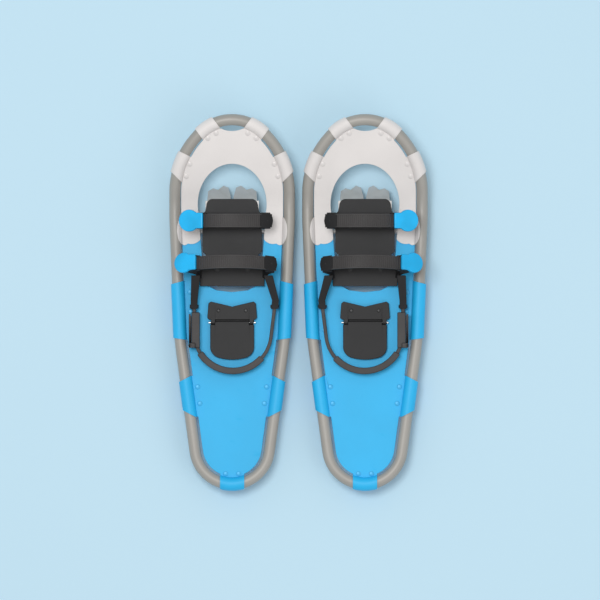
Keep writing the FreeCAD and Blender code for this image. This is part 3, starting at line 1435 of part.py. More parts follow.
make_left_shoe()
doc.recompute()
PIECES = LEFT_PIECES + mirror_shoe()
doc.recompute()

for item in doc.Objects:
    if "Invalid" in item.State or "Error" in item.State:
        raise RuntimeError(f"{item.Name} failed: {item.State}")
for piece in PIECES:
    if piece.Shape.isNull() or not piece.Shape.isValid():
        raise RuntimeError(piece.Label + " has no valid shape")

os.makedirs("parts", exist_ok=True)
for piece in PIECES:
    piece.Shape.exportStep(os.path.join("parts", piece.Label + ".step"))
print(len(PIECES), "pieces written")
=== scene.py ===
"""A pair of snowshoes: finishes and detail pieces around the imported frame."""
import json
import math

import bmesh
import bpy
from mathutils import Matrix, Vector


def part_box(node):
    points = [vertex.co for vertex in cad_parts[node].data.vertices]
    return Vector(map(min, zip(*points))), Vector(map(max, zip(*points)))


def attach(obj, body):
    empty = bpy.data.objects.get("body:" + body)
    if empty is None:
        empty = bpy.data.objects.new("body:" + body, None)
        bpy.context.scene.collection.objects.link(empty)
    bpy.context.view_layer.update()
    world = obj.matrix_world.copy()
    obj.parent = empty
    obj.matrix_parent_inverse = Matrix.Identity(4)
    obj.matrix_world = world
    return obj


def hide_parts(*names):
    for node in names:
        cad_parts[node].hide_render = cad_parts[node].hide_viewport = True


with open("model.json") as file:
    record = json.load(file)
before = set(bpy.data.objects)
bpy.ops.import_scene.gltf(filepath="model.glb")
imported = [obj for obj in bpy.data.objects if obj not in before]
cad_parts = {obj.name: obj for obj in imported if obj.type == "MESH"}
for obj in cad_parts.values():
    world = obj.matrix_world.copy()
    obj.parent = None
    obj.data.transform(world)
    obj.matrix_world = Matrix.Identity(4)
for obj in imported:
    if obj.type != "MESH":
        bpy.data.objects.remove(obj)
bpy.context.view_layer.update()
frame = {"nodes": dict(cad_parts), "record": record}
SIDES = ("left", "right")
MM = 0.001
MERGE_DISTANCE = 0.004 * MM
FLAT_ANGLE = 0.6       # degrees between faces that count as one flat face
SMOOTH_ANGLE = 38      # degrees between faces that stay sharp, on a piece with no rounded edges


def side_x(side):
    """Centre line of a shoe, from its pivot axle."""
    low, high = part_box(side + "_pivot_axle")
    return (low[0] + high[0]) / 2


# ------------------------------------------------------------ colours, linear

PAINT_GREY = (0.385, 0.370, 0.340)
OFF_WHITE = (0.800, 0.765, 0.748)
SKY_BLUE = (0.014, 0.490, 0.905)
PADDLE_BLUE = (0.014, 0.470, 0.890)
SOOT = (0.014, 0.014, 0.015)
STRAP_GREY = (0.056, 0.053, 0.053)
STEEL_GREY = (0.52, 0.495, 0.46)
BARE_ALUMINIUM = (0.62, 0.62, 0.63)
ACETAL = (0.72, 0.71, 0.68)
FLOOR_BLUE = (0.552, 0.775, 0.905)


# ------------------------------------------------------------ shader sums

class Socket:
    """An output socket or a number that takes part in sums."""

    def __init__(self, finish, value):
        self.finish = finish
        self.value = value

    def _join(self, operation, *others):
        return self.finish.node("Math", dict(operation=operation), 0, *[self.value, *others])

    def __add__(self, other):
        return self._join("ADD", other)

    __radd__ = __add__

    def __mul__(self, other):
        return self._join("MULTIPLY", other)

    __rmul__ = __mul__

    def __sub__(self, other):
        return self._join("SUBTRACT", other)

    def __rsub__(self, other):
        return self.finish.node("Math", dict(operation="SUBTRACT"), 0, other, self.value)

    def sine(self):
        return self._join("SINE")

    def size(self):
        return self._join("ABSOLUTE")

    def step(self, low, high):
        """0 below low, 1 above high and smooth between."""
        settings = dict(interpolation_type="SMOOTHSTEP")
        return self.finish.node("MapRange", settings, 0, self.value, low, high, 0.0, 1.0)


class Finish:
    """A material built from sums of sockets."""

    def __init__(self, name):
        self.material = bpy.data.materials.new(name)
        self.material.use_nodes = True
        self.tree = self.material.node_tree
        self.tree.nodes.clear()
        self.output = self.tree.nodes.new("ShaderNodeOutputMaterial")
        self.shader = self.tree.nodes.new("ShaderNodeBsdfPrincipled")
        self.tree.links.new(self.shader.outputs[0], self.output.inputs[0])

    def put(self, socket, value):
        """Give an input a number, a colour or a link."""
        value = value.value if isinstance(value, Socket) else value
        if isinstance(value, bpy.types.NodeSocket):
            self.tree.links.new(value, socket)
        elif isinstance(value, (tuple, list)) and len(value) == 3 and socket.type == "RGBA":
            socket.default_value = (*value, 1.0)
        else:
            socket.default_value = value

    def node(self, kind, settings, output, *inputs, **named):
        """Any node: its settings first, then its inputs by place or by name."""
        made = self.tree.nodes.new("ShaderNode" + kind)
        for key, value in settings.items():
            setattr(made, key, value)
        for socket, value in zip(made.inputs, inputs):
            if value is not None:
                self.put(socket, value)
        for key, value in named.items():
            self.put(made.inputs[key.replace("_", " ")], value)
        return Socket(self, made.outputs[output])

    def place(self):
        """Object coordinates, which are the row frame in metres."""
        return self.node("TexCoord", {}, "Object")

    def axes(self):
        """The three object coordinates as numbers."""
        split = self.tree.nodes.new("ShaderNodeSeparateXYZ")
        self.put(split.inputs[0], self.place())
        return [Socket(self, output) for output in split.outputs]

    def noise(self, scale, detail=2.0, rough=0.5, where=None):
        """Grey noise about 0.5."""
        return self.node("TexNoise", {}, 0, Vector=where or self.place(), Scale=scale, Detail=detail,
                         Roughness=rough)

    def stretched(self, x, y, z):
        """Object coordinates scaled along each axis."""
        return self.node("Mapping", dict(vector_type="POINT"), 0, self.place(), None, None, (x, y, z))

    def blend(self, share, first, second):
        """A colour between two."""
        made = self.tree.nodes.new("ShaderNodeMix")
        made.data_type = "RGBA"
        self.put(made.inputs[0], share)
        self.put(made.inputs[6], first)
        self.put(made.inputs[7], second)
        return Socket(self, made.outputs[2])

    def edge_wear(self, low=0.52, high=0.60):
        """1 on sharp outer edges and 0 elsewhere."""
        pointy = self.node("NewGeometry", {}, "Pointiness")
        return pointy.step(low, high)

    def bump(self, height, distance, strength=1.0):
        """Feed the shader's normal from a height."""
        normal = self.node("Bump", {}, 0, strength, distance, Height=height)
        self.put(self.shader.inputs["Normal"], normal)

    def set(self, **values):
        """Set inputs of the main shader by name."""
        for key, value in values.items():
            self.put(self.shader.inputs[key.replace("_", " ")], value)
        return self.material


def shade(colour, factor):
    """A colour made lighter or darker."""
    return tuple(min(1.0, part * factor) for part in colour)


def painted_tube():
    """Satin paint on aluminium tube, with fine speckle and a few long scuffs."""
    f = Finish("satin_painted_tube")
    speckle = f.noise(1900, 1.0)
    cloud = f.noise(14, 3.0)
    scuff = f.noise(60, 4.0, 0.6, f.stretched(6, 1, 6)).step(0.66, 0.74)
    share = cloud.step(0.3, 0.7) * 0.5 + speckle * 0.2
    colour = f.blend(share, shade(PAINT_GREY, 0.94), shade(PAINT_GREY, 1.08))
    colour = f.blend(scuff * 0.35, colour, BARE_ALUMINIUM)
    f.bump(speckle * 0.6 + cloud * 0.3, 0.00012, 0.5)
    return f.set(Base_Color=colour, Metallic=0.12, Roughness=0.42 + cloud * 0.12 - scuff * 0.08,
                 Coat_Weight=0.06, Coat_Roughness=0.3)


def coated_cloth(name, colour, thread):
    """Coated deck cloth: a fine square weave under the coating, faint clouding and scuffs."""
    f = Finish(name)
    x, y, z = f.axes()
    pitch = 2 * math.pi / (thread * MM)
    warp = (x * pitch).sine()
    weft = ((y + z * 0.35) * pitch).sine()
    weave = (warp * weft) * 0.5 + 0.5
    cloud = f.noise(9, 4.0)
    grain = f.noise(420, 2.0)
    scuff = f.noise(38, 5.0, 0.62, f.stretched(1, 2.6, 1)).step(0.63, 0.72)
    tone = f.blend(cloud.step(0.25, 0.75), shade(colour, 0.95), shade(colour, 1.04))
    tone = f.blend(weave * 0.16, tone, shade(colour, 0.80))
    tone = f.blend(scuff * 0.16, tone, shade(colour, 0.86))
    f.bump(weave * 0.7 + grain * 0.5, 0.00022, 0.55)
    return f.set(Base_Color=tone, Roughness=0.47 + scuff * 0.15 + grain * 0.06, Coat_Weight=0.10,
                 Coat_Roughness=0.35)


def moulded(name, colour, rough, grain_size=520, gloss=0.0):
    """Moulded plastic with a fine eroded grain and rubbed edges."""
    f = Finish(name)
    grain = f.noise(grain_size, 3.0, 0.6)
    cloud = f.noise(22, 3.0)
    scratch = f.noise(90, 4.0, 0.6, f.stretched(1, 7, 2)).step(0.66, 0.72)
    wear = f.edge_wear(0.53, 0.60)
    tone = f.blend(cloud.step(0.3, 0.7), shade(colour, 0.90), shade(colour, 1.12))
    tone = f.blend(wear * 0.22, tone, tuple(min(1.0, part * 1.35 + 0.02) for part in colour))
    f.bump(grain, 0.00014, 0.5)
    f.set(Specular_IOR_Level=0.3)
    return f.set(Base_Color=tone, Roughness=rough + grain * 0.12 - scratch * 0.12 - 0.06, Coat_Weight=gloss,
                 Coat_Roughness=0.15)


def zinc_steel():
    """Zinc-plated pressed steel, brushed along the shoe and worn bright at its edges."""
    f = Finish("zinc_plated_steel")
    brushed = f.noise(240, 3.0, 0.6, f.stretched(12, 1, 1))
    bloom = f.noise(30, 4.0)
    wear = f.edge_wear(0.52, 0.58)
    tone = f.blend(bloom.step(0.3, 0.7), shade(STEEL_GREY, 0.86), shade(STEEL_GREY, 1.10))
    tone = f.blend(wear * 0.6, tone, BARE_ALUMINIUM)
    f.bump(brushed, 0.00008, 0.5)
    return f.set(Base_Color=tone, Metallic=0.3, Roughness=0.42 + brushed * 0.18 - wear * 0.08)


def bare_metal(name, colour, metallic=0.85, rough=0.3):
    """Turned or formed metal of small fittings."""
    f = Finish(name)
    cloud = f.noise(120, 3.0)
    f.bump(f.noise(900, 2.0), 0.00005, 0.5)
    tone = f.blend(cloud, shade(colour, 0.90), shade(colour, 1.08))
    return f.set(Base_Color=tone, Metallic=metallic, Roughness=rough + cloud * 0.12)


# where the deck rivets change colour, in metres
DECK_SPLIT = 0.118
PLATE_HALF = 0.031
PLATE_REAR = -0.111
PLATE_FRONT = 0.005


def coloured_rivets():
    """Rivet heads painted to match what they hold: off-white, blue, or black at the heel plate."""
    f = Finish("colour_matched_rivets")
    x, y, z = f.axes()
    speck = f.noise(700, 2.0)
    off_centre = (x.size() - side_x("right")).size()

    def beyond(place, limit):
        """1 past a limit and 0 before it, over a millimetre each way."""
        return place.step(limit - MM, limit + MM)

    at_nose = beyond(y, DECK_SPLIT)
    beside_plate = beyond(off_centre, PLATE_HALF)
    at_heel = (1 - beside_plate) * beyond(y, PLATE_REAR) * (1 - beyond(y, PLATE_FRONT))
    tone = f.blend(at_nose, shade(SKY_BLUE, 0.90), shade(OFF_WHITE, 0.93))
    tone = f.blend(at_heel, tone, SOOT)
    tone = f.blend(speck * 0.12, tone, BARE_ALUMINIUM)
    f.bump(speck, 0.00006, 0.5)
    return f.set(Base_Color=tone, Metallic=0.1, Roughness=0.34 + speck * 0.12)


TUBE = painted_tube()
WHITE_CLOTH = coated_cloth("off_white_coated_deck", OFF_WHITE, 1.15)
BLUE_CLOTH = coated_cloth("blue_coated_deck", SKY_BLUE, 1.15)
BLACK = moulded("black_moulded_nylon", SOOT, 0.50)
STRAP = moulded("dark_grey_strap_rubber", STRAP_GREY, 0.52, 380)
PADDLE = moulded("blue_paddle_plastic", PADDLE_BLUE, 0.30, 700, 0.25)
STEEL = zinc_steel()
RIVET = bare_metal("aluminium_rivet", BARE_ALUMINIUM)
PIN = bare_metal("polished_pin", (0.70, 0.71, 0.70), 0.9, 0.22)
BUSH = moulded("white_acetal", ACETAL, 0.38)
DECK_RIVET = coloured_rivets()
BLACK_RIVET = bare_metal("black_oxide_rivet", (0.030, 0.030, 0.031), 0.35, 0.42)

FINISH_OF = {
    "frame_tube": TUBE, "tail_plug": BLACK, "front_deck": WHITE_CLOTH, "rear_deck": BLUE_CLOTH,
    "deck_rivets": RIVET, "pivot_clamps": BLACK, "pivot_axle": STEEL, "pivot_bushings": BUSH,
    "toe_crampon": STEEL, "binding_plate": BLACK, "toe_harness": BLACK, "heel_yoke": BLACK,
    "binding_rivets": RIVET, "toe_strap": STRAP, "instep_strap": STRAP, "toe_buckle_base": BLACK,
    "instep_buckle_base": BLACK, "toe_buckle_lever": PADDLE, "instep_buckle_lever": PADDLE,
    "toe_buckle_pawl": BLACK, "instep_buckle_pawl": BLACK, "buckle_pins": BLACK_RIVET, "heel_strap": STRAP,
    "heel_pad": STRAP, "heel_buckle": STRAP, "heel_buckle_lever": STRAP, "heel_plate": BLACK,
    "heel_lifter": BLACK, "lifter_pin": PIN, "heel_crampon": STEEL,
}
BODY_OF = {node: body for body, nodes in frame["record"]["behaviour"]["bodies"].items() for node in nodes}

for side in SIDES:
    for short, finish in FINISH_OF.items():
        node = frame["nodes"][f"{side}_{short}"]
        node.data.materials.clear()
        node.data.materials.append(finish)


# ------------------------------------------------------------ camera, floor and light

FIELD = 1.012          # width of the view at the decks, in metres
CAMERA_HEIGHT = 14.0
DECK_HEIGHT = 0.04
VIEW_CENTRE = (0.0024, 0.0046)
SENSOR = 36            # millimetres
FAR_CLIP = 50
FLOOR_REACH = 12       # from the middle to each edge
SKY_STRENGTH = 0.5
LAMPS = (
    # name, place, width in metres, watts
    ("overhead_light", (-0.75, 0.85, 5.2), 1.7, 124),
    ("side_light", (1.9, -1.2, 2.4), 2.2, 12),
)


def set_stage():
    """A straight-down camera, a pale floor and soft light."""
    data = bpy.data.cameras.new("plan_camera")
    data.sensor_width = SENSOR
    data.lens = data.sensor_width * (CAMERA_HEIGHT - DECK_HEIGHT) / FIELD
    data.clip_end = FAR_CLIP
    camera = bpy.data.objects.new("plan_camera", data)
    camera.location = (*VIEW_CENTRE, CAMERA_HEIGHT)
    bpy.context.collection.objects.link(camera)
    bpy.context.scene.camera = camera

    f = Finish("pale_floor")
    f.set(Base_Color=FLOOR_BLUE, Roughness=0.9)
    mesh = bpy.data.meshes.new("floor")
    corners = [(-1, -1), (1, -1), (1, 1), (-1, 1)]
    mesh.from_pydata([(x * FLOOR_REACH, y * FLOOR_REACH, 0) for x, y in corners], [], [(0, 1, 2, 3)])
    floor = bpy.data.objects.new("floor", mesh)
    floor.data.materials.append(f.material)
    bpy.context.collection.objects.link(floor)

    world = bpy.data.worlds.new("studio")
    world.use_nodes = True
    background = world.node_tree.nodes["Background"]
    background.inputs["Color"].default_value = (1, 1, 1, 1)
    background.inputs["Strength"].default_value = SKY_STRENGTH
    bpy.context.scene.world = world
    for name, place, width, power in LAMPS:
        light = bpy.data.lights.new(name, "AREA")
        light.size = width
        light.energy = power
        lamp = bpy.data.objects.new(name, light)
        lamp.location = place
        lamp.rotation_euler = (-Vector(place)).to_track_quat("-Z", "Y").to_euler()
        bpy.context.collection.objects.link(lamp)
    bpy.context.scene.view_settings.view_transform = "Standard"


set_stage()


# ------------------------------------------------------------ making and placing pieces

def link(name, mesh):
    """A new object at the origin that shows a mesh."""
    piece = bpy.data.objects.new(name, mesh)
    bpy.context.collection.objects.link(piece)
    return piece


def plain(piece):
    """The finished mesh of a piece, with its modifiers in and the piece itself gone."""
    graph = bpy.context.evaluated_depsgraph_get()
    mesh = bpy.data.meshes.new_from_object(piece.evaluated_get(graph), depsgraph=graph)
    bpy.data.objects.remove(piece)
    return mesh


def merged(node):
    """A left CAD node's surface with its loose triangles joined and its flat faces whole."""
    work = bmesh.new()
    work.from_mesh(frame["nodes"]["left_" + node].data)
    bmesh.ops.remove_doubles(work, verts=work.verts, dist=MERGE_DISTANCE)
    bmesh.ops.dissolve_limit(work, angle_limit=math.radians(FLAT_ANGLE), verts=work.verts, edges=work.edges)
    mesh = bpy.data.meshes.new(node)
    work.to_mesh(mesh)
    work.free()
    return mesh


def mirrored(mesh):
    """The right shoe's copy of a left mesh, facing outwards."""
    shape = mesh.copy()
    shape.transform(Matrix.Scale(-1, 4, Vector((1, 0, 0))))
    shape.flip_normals()
    return shape


def pair(short, node, mesh, finish, edge=0, segments=2, stands_in=True, limit=32):
    """Set a left piece and its mirror image on the body of a CAD node, in its material slot.

    Sharp edges are rounded by edge millimetres, and flat faces keep flat shading."""
    for side in SIDES:
        shape = mesh if side == "left" else mirrored(mesh)
        shape.materials.clear()
        shape.materials.append(finish)
        shape.shade_smooth()
        piece = link("blank", shape)
        if edge:
            bevel = piece.modifiers.new("edges", "BEVEL")
            bevel.width = edge * MM
            bevel.segments = segments
            bevel.limit_method = "ANGLE"
            bevel.angle_limit = math.radians(limit)
            bevel.use_clamp_overlap = False
            bevel.miter_outer = "MITER_ARC"
        else:
            shape.set_sharp_from_angle(angle=math.radians(SMOOTH_ANGLE))
        weigh = piece.modifiers.new("shading", "WEIGHTED_NORMAL")
        weigh.keep_sharp = True
        piece = link(f"{side}_{short}", plain(piece))
        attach(piece, BODY_OF[f"{side}_{node}"])
        if stands_in:
            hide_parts(f"{side}_{node}")


SOFTENED = (
    # piece, CAD node, edge radius in mm, segments, finish
    ("deck_nose_sheet", "front_deck", 0.45, 2, WHITE_CLOTH),
    ("deck_tail_sheet", "rear_deck", 0.45, 2, BLUE_CLOTH),
    ("boot_plate", "binding_plate", 0.6, 2, BLACK),
    ("toe_wings", "toe_harness", 0.7, 2, BLACK),
    ("rear_wings", "heel_yoke", 0.7, 2, BLACK),
    ("toe_buckle_channel", "toe_buckle_base", 0.4, 2, BLACK),
    ("instep_buckle_channel", "instep_buckle_base", 0.4, 2, BLACK),
    ("toe_paddle", "toe_buckle_lever", 0.9, 3, PADDLE),
    ("instep_paddle", "instep_buckle_lever", 0.9, 3, PADDLE),
    ("heel_band", "heel_strap", 1.4, 3, STRAP),
    ("heel_sleeve", "heel_pad", 1.8, 3, STRAP),
    ("heel_buckle_block", "heel_buckle", 1.6, 3, STRAP),
    ("heel_cam", "heel_buckle_lever", 0.7, 2, STRAP),
    ("heel_rest_plate", "heel_plate", 0.8, 2, BLACK),
    ("climbing_lifter", "heel_lifter", 0.8, 2, BLACK),
    ("claw_channel", "toe_crampon", 0.3, 2, STEEL),
    ("heel_teeth", "heel_crampon", 0.3, 2, STEEL),
    ("saddle_clamps", "pivot_clamps", 0.8, 2, BLACK),
)

for short, node, width, segments, finish in SOFTENED:
    pair(short, node, merged(node), finish, width, segments)


# ------------------------------------------------------------ pieces grown by Geometry Nodes

class Grower:
    """A Geometry Nodes tree with named sizes, ended by Realize Instances and Set Material."""

    def __init__(self, name, **sizes):
        self.tree = bpy.data.node_groups.new(name, "GeometryNodeTree")
        self.tree.interface.new_socket("Geometry", in_out="OUTPUT", socket_type="NodeSocketGeometry")
        self.tree.interface.new_socket("Geometry", in_out="INPUT", socket_type="NodeSocketGeometry")
        self.keys = {}
        for size_name, value in sizes.items():
            socket = self.tree.interface.new_socket(size_name, in_out="INPUT", socket_type="NodeSocketFloat")
            socket.default_value = value
            self.keys[size_name] = socket.identifier
        self.inlet = self.tree.nodes.new("NodeGroupInput")

    def size(self, name):
        """One of the tree's named sizes."""
        return self.inlet.outputs[name]

    def node(self, kind, settings, **inputs):
        """Any node, with its settings and then its inputs, by name or by place as i0, i1 and so on.

        The first output is returned."""
        made = self.tree.nodes.new(kind)
        for key, value in settings.items():
            setattr(made, key, value)
        for key, value in inputs.items():
            by_place = key[0] == "i" and key[1:].isdigit()
            socket = made.inputs[int(key[1:]) if by_place else key.replace("_", " ")]
            if isinstance(value, bpy.types.NodeSocket):
                self.tree.links.new(value, socket)
            else:
                socket.default_value = value
        return made.outputs[0]

    def maths(self, operation, *values):
        """A Math node on one or two values."""
        inputs = {f"i{place}": value for place, value in enumerate(values)}
        return self.node("ShaderNodeMath", dict(operation=operation), **inputs)

    def vector(self, operation, *values):
        """A Vector Math node on vectors."""
        inputs = {f"i{place}": value for place, value in enumerate(values)}
        return self.node("ShaderNodeVectorMath", dict(operation=operation), **inputs)

    def triple(self, x, y, z):
        """A vector from three values."""
        return self.node("ShaderNodeCombineXYZ", {}, X=x, Y=y, Z=z)

    def joined(self, *shapes):
        """Several geometries as one."""
        made = self.tree.nodes.new("GeometryNodeJoinGeometry")
        for shape in shapes:
            self.tree.links.new(shape, made.inputs[0])
        return made.outputs[0]

    def finish(self, shape, finish):
        """Close the tree on a geometry."""
        whole = self.node("GeometryNodeRealizeInstances", {}, Geometry=shape)
        smooth = self.node("GeometryNodeSetShadeSmooth", {}, Geometry=whole)
        painted = self.node("GeometryNodeSetMaterial", {}, Geometry=smooth, Material=finish)
        outlet = self.tree.nodes.new("NodeGroupOutput")
        self.tree.links.new(painted, outlet.inputs[0])
        return self

    def on(self, data, **sizes):
        """The plain mesh that the tree grows on a mesh or a curve."""
        piece = link("seed", data)
        modifier = piece.modifiers.new("grow", "NODES")
        modifier.node_group = self.tree
        for size_name, value in sizes.items():
            modifier[self.keys[size_name]] = value
        return plain(piece)


RIVET_HEAD = 4.5 * MM
RIVET_RISE = 1.2 * MM
RIVET_SHANK = 2.4 * MM
TAIL_SHARE = 0.74      # a set tail's width and height, as shares of a full head's
TAIL_RISE = 0.95
FLUSH_SHARE = 0.52     # the width of a flush rivet's crown, likewise
FLUSH_RISE = 0.1 * MM
DOME_TOP = 0.66        # a dome's flat top in the CAD is wider than this share of its head
END_DEPTH = 0.05 * MM  # faces this near the end of a rivet belong to that end


def rivet_grower(finish):
    """Domed rivets on points that carry the way a head looks, its grip and its share of a full head."""
    g = Grower("rivets_" + finish.name, head=RIVET_HEAD, rise=RIVET_RISE, shank=RIVET_SHANK)
    points = g.node("GeometryNodeMeshToPoints", {}, Mesh=g.inlet.outputs["Geometry"])
    look = g.node("GeometryNodeInputNamedAttribute", dict(data_type="FLOAT_VECTOR"), Name="look")
    grip = g.node("GeometryNodeInputNamedAttribute", dict(data_type="FLOAT"), Name="grip")
    share = g.node("GeometryNodeInputNamedAttribute", dict(data_type="FLOAT"), Name="share")
    ball = g.node("GeometryNodeMeshUVSphere", {}, Segments=20, Rings=12, Radius=1.0)
    place = g.node("GeometryNodeInputPosition", {})
    split = g.tree.nodes.new("ShaderNodeSeparateXYZ")
    g.tree.links.new(place, split.inputs[0])
    raised = g.triple(split.outputs[0], split.outputs[1], g.maths("MAXIMUM", split.outputs[2], 0.0))
    dome = g.node("GeometryNodeSetPosition", {}, Geometry=ball, Position=raised)
    facing = g.node("FunctionNodeAlignRotationToVector", dict(axis="Z"), Vector=look)
    behind = g.vector("MULTIPLY", look, (-1, -1, -1))
    away = g.node("FunctionNodeAlignRotationToVector", dict(axis="Z"), Vector=behind)
    wide = g.maths("MULTIPLY", g.size("head"), share)
    high = g.maths("MULTIPLY", g.size("rise"), share)
    heads = g.node("GeometryNodeInstanceOnPoints", {}, Points=points, Instance=dome, Rotation=facing,
                   Scale=g.triple(wide, wide, high))
    back = g.triple(*[g.maths("MULTIPLY", grip, -1.0)] * 3)
    far_end = g.node("GeometryNodeSetPosition", {}, Geometry=points, Offset=g.vector("MULTIPLY", look, back))
    tail_wide = g.maths("MULTIPLY", g.size("head"), TAIL_SHARE)
    tails = g.node("GeometryNodeInstanceOnPoints", {}, Points=far_end, Instance=dome, Rotation=away,
                   Scale=g.triple(tail_wide, tail_wide, g.maths("MULTIPLY", g.size("rise"), TAIL_RISE)))
    half = g.vector("MULTIPLY", g.vector("MULTIPLY", look, back), (0.5, 0.5, 0.5))
    middle = g.node("GeometryNodeSetPosition", {}, Geometry=points, Offset=half)
    rod = g.node("GeometryNodeMeshCylinder", {}, Vertices=16, Radius=1.0, Depth=1.0)
    shanks = g.node("GeometryNodeInstanceOnPoints", {}, Points=middle, Instance=rod, Rotation=facing,
                    Scale=g.triple(g.size("shank"), g.size("shank"), grip))
    return g.finish(g.joined(heads, tails, shanks), finish)


def islands(mesh):
    """The separate shells of a mesh, each a list of its faces as (area, middle, normal)."""
    work = bmesh.new()
    work.from_mesh(mesh)
    left = set(work.faces)
    found = []
    while left:
        queue = [left.pop()]
        shell = []
        while queue:
            face = queue.pop()
            shell.append((face.calc_area(), face.calc_center_median_weighted(), face.normal.copy()))
            for edge in face.edges:
                for other in edge.link_faces:
                    if other in left:
                        left.discard(other)
                        queue.append(other)
        found.append(shell)
    work.free()
    return found


def end_of(shell, way):
    """The flat end of a rivet that looks one way: its area and its middle."""
    ends = [face for face in shell if face[2].dot(way) > 0.999]
    reach = max(face[1].dot(way) for face in ends)
    ends = [face for face in ends if reach - face[1].dot(way) < END_DEPTH]
    area = sum(face[0] for face in ends)
    return area, sum((face[1] * face[0] for face in ends), Vector()) / area


def rivet_seats(node):
    """One point for each rivet of a left CAD node, where its head sits down."""
    dome_area = math.pi * (RIVET_HEAD * DOME_TOP) ** 2
    seats = []
    for shell in islands(merged(node)):
        axis = max(shell, key=lambda face: face[0])[2]
        ends = [(*end_of(shell, way), way) for way in (axis, -axis)]
        big, small = sorted(ends, key=lambda end: -end[0])
        domed = big[0] > dome_area
        top, foot = (big, small) if domed else (small, big)
        rise = RIVET_RISE if domed else FLUSH_RISE
        seat = top[1] - top[2] * rise
        grip = (seat - foot[1]).length - RIVET_RISE
        seats.append((seat, top[2], grip, 1.0 if domed else FLUSH_SHARE))
    places, looks, grips, shares = zip(*seats)
    mesh = bpy.data.meshes.new(node + "_seats")
    mesh.from_pydata(places, [], [])
    look = mesh.attributes.new("look", "FLOAT_VECTOR", "POINT")
    look.data.foreach_set("vector", [part for way in looks for part in way])
    for name, values in (("grip", grips), ("share", shares)):
        mesh.attributes.new(name, "FLOAT", "POINT").data.foreach_set("value", values)
    return mesh


for node, finish in (("deck_rivets", DECK_RIVET), ("binding_rivets", BLACK_RIVET)):
    pair(node[:-1] + "_set", node, rivet_grower(finish).on(rivet_seats(node)), finish)


# ------------------------------------------------------------ the ladder straps

# millimetres
FLOOR_TOP = 50         # where an arch leans from
STRAP_THICK = 2.4
STRAP_HALF = 11.2
TONGUE = 40            # strap beyond the start of its buckle
TIP_HALF = 1.5         # half width at the very tip of the tongue
RAIL_HALF = 0.9
RAIL_RISE = 1.0
RAIL_SINK = 0.4        # into the band, and the rounding of its edges
RAIL_STATIONS = slice(10, -2)
RIB_START = 12         # from the tip of the tongue
RIB_STOP = 21          # from the inner end
CAP_LENGTH = 23
CAP_LAP = 1.2          # how far the cap passes the strap's end
CAP_HALF = 12.6
CAP_ROUND = 9.5        # length over which the cap's end narrows
CAP_SHOULDER = 6       # length over which it widens from its mouth
CAP_MOUTH = 0.82       # its mouth's width as a share of its full width
CAP_RISE = 1.15
CAP_BELOW = 0.25
CAP_CORNER = 0.9
CAP_BLUNT = 2.4        # the power that shapes its round end
LEAST_HALF = 0.05      # half width of a strip where it closes
CORNER_SHARE = 0.6     # most rounding, as a share of the half width
CORNER_CUT = 0.3       # how far a rounded corner's middle point comes in


class Arch:
    """The arch of one ladder strap, in millimetres about the left shoe's centre line."""

    def __init__(self, y, radius, centre_z, buckle_start, inner_end, lean):
        self.y = y
        self.radius = radius
        self.centre_z = centre_z
        self.slope = math.asin(buckle_start / radius)
        self.end = math.asin(inner_end / radius)
        self.lean = math.radians(lean)

    def station(self, along, lift=0):
        """A point, its outward direction and the way along, some millimetres from the top of the arch."""
        angle = along / self.radius
        if angle >= -self.slope:
            out = Vector((math.sin(angle), 0, math.cos(angle)))
            on = Vector((math.cos(angle), 0, -math.sin(angle)))
            place = Vector((0, self.y, self.centre_z)) + out * (self.radius + lift)
            return place, out, on
        place, out, on = self.station(-self.slope * self.radius, lift)
        return place + on * (along + self.slope * self.radius), out, on

    def settle(self, mesh):
        """Lean a finished mesh towards the toe and carry it to the left shoe, in metres."""
        base = Vector((0, self.y, FLOOR_TOP))
        turn = Matrix.Translation(base) @ Matrix.Rotation(-self.lean, 4, "X") @ Matrix.Translation(-base)
        mesh.transform(Matrix.Translation((side_x("left"), 0, 0)) @ Matrix.Scale(MM, 4) @ turn)
        return mesh


TOE = Arch(y=138, radius=110, centre_z=-6.4, buckle_start=42.5, inner_end=66, lean=0)
INSTEP = Arch(y=56, radius=118, centre_z=0, buckle_start=53.5, inner_end=73, lean=11)


def strip(stations, low, high, round_off=0.7):
    """A closed strip along stations of (place, outward, half width), with rounded long edges."""
    vertices = []
    for place, out, half in stations:
        half = max(half, LEAST_HALF)
        corner = min(round_off, half * CORNER_SHARE)
        cut = corner * CORNER_CUT
        outline = [(-half, low + corner), (-half + corner, low), (half - corner, low), (half, low + corner),
                   (half, high - corner), (half - cut, high - cut), (half - corner, high),
                   (-half + corner, high), (-half + cut, high - cut), (-half, high - corner)]
        vertices += [place + out * rise + Vector((0, across, 0)) for across, rise in outline]
    size = len(outline)
    faces = []
    for ring in range(len(stations) - 1):
        for point in range(size):
            after = (point + 1) % size
            near, far = ring * size, (ring + 1) * size
            faces.append((near + point, near + after, far + after, far + point))
    faces.append(tuple(range(size))[::-1])
    faces.append(tuple(range((len(stations) - 1) * size, len(stations) * size)))
    mesh = bpy.data.meshes.new("strip")
    mesh.from_pydata(vertices, [], faces)
    work = bmesh.new()
    work.from_mesh(mesh)
    bmesh.ops.recalc_face_normals(work, faces=work.faces)
    work.to_mesh(mesh)
    work.free()
    return mesh


def joined(*meshes):
    """Several meshes as one."""
    work = bmesh.new()
    for mesh in meshes:
        work.from_mesh(mesh)
    mesh = bpy.data.meshes.new("joined")
    work.to_mesh(mesh)
    work.free()
    return mesh


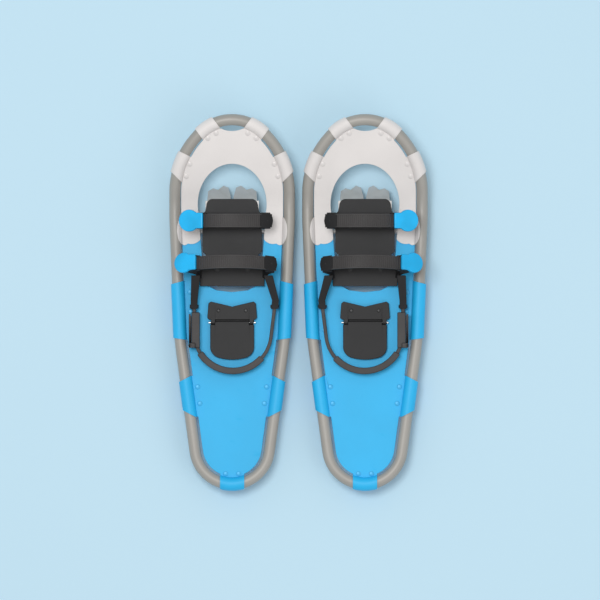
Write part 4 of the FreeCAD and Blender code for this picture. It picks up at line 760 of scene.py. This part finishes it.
def rib_grower():
    """Half-round ribs across a strap, one for each pitch along its line."""
    g = Grower("ladder_ribs", pitch=3.5, half_width=1.0, height=1.1, length=18.6)
    stops = g.node("GeometryNodeResampleCurve", dict(mode="LENGTH"), Curve=g.inlet.outputs["Geometry"],
                   Length=g.size("pitch"))
    reach = g.maths("MULTIPLY", g.size("length"), 0.5)
    start = g.triple(0.0, g.maths("MULTIPLY", reach, -1.0), 0.0)
    spine = g.node("GeometryNodeCurvePrimitiveLine", {}, Start=start, End=g.triple(0.0, reach, 0.0))
    ring = g.node("GeometryNodeCurvePrimitiveCircle", {}, Resolution=10, Radius=1.0)
    rod = g.node("GeometryNodeCurveToMesh", {}, Curve=spine, Profile_Curve=ring, Fill_Caps=True)
    along = g.node("GeometryNodeInputTangent", {})
    turn = g.node("FunctionNodeAlignRotationToVector", dict(axis="X", pivot_axis="Y"), Vector=along)
    ribs = g.node("GeometryNodeInstanceOnPoints", {}, Points=stops, Instance=rod, Rotation=turn,
                  Scale=g.triple(g.size("half_width"), 1.0, g.size("height")))
    return g.finish(ribs, STRAP)


def rib_line(arch, first, last):
    """The curve that the ribs stand on."""
    curve = bpy.data.curves.new("rib_line", "CURVE")
    curve.dimensions = "3D"
    spline = curve.splines.new("POLY")
    steps = 40
    spline.points.add(steps)
    for step in range(steps + 1):
        place = arch.station(first + (last - first) * step / steps, STRAP_THICK)[0]
        spline.points[step].co = (*place, 1)
    return curve


RIBS = rib_grower()


def ladder_strap(name, arch):
    """A ladder strap with rails and ribs, its tongue through the buckle, and the cap on its inner end."""
    first = -arch.slope * arch.radius - TONGUE
    last = arch.end * arch.radius
    count = 60
    stations = []
    for step in range(count + 1):
        along = first + (last - first) * step / count
        place, out, _ = arch.station(along)
        from_tip = min(along - first, STRAP_HALF)
        half = STRAP_HALF * math.sqrt(max(0, 1 - (1 - from_tip / STRAP_HALF) ** 2))
        stations.append((place, out, max(half, TIP_HALF)))
    band = strip(stations, 0, STRAP_THICK)
    rails = []
    for edge in (-1, 1):
        offset = Vector((0, edge * (STRAP_HALF - RAIL_HALF), 0))
        rail = [(place + offset, out, RAIL_HALF) for place, out, _ in stations[RAIL_STATIONS]]
        rails.append(strip(rail, STRAP_THICK - RAIL_SINK, STRAP_THICK + RAIL_RISE, RAIL_SINK))
    ribs = RIBS.on(rib_line(arch, first + RIB_START, last - RIB_STOP))
    pair(name + "_ladder", name + "_strap", arch.settle(joined(band, *rails, ribs)), STRAP)
    cap = []
    count = 22
    mouth = last - CAP_LENGTH
    for step in range(count + 1):
        along = mouth + (CAP_LENGTH + CAP_LAP) * step / count
        place, out, _ = arch.station(along)
        to_end = last + CAP_LAP - along
        taper = math.sqrt(max(0.0, 1 - max(0.0, 1 - to_end / CAP_ROUND) ** CAP_BLUNT))
        shoulder = min(1.0, CAP_MOUTH + (1 - CAP_MOUTH) * (along - mouth) / CAP_SHOULDER)
        cap.append((place, out, CAP_HALF * taper * shoulder))
    shape = arch.settle(strip(cap, -CAP_BELOW, STRAP_THICK + CAP_RISE, CAP_CORNER))
    pair(name + "_strap_cap", name + "_strap", shape, BLACK, stands_in=False)


ladder_strap("toe", TOE)
ladder_strap("instep", INSTEP)
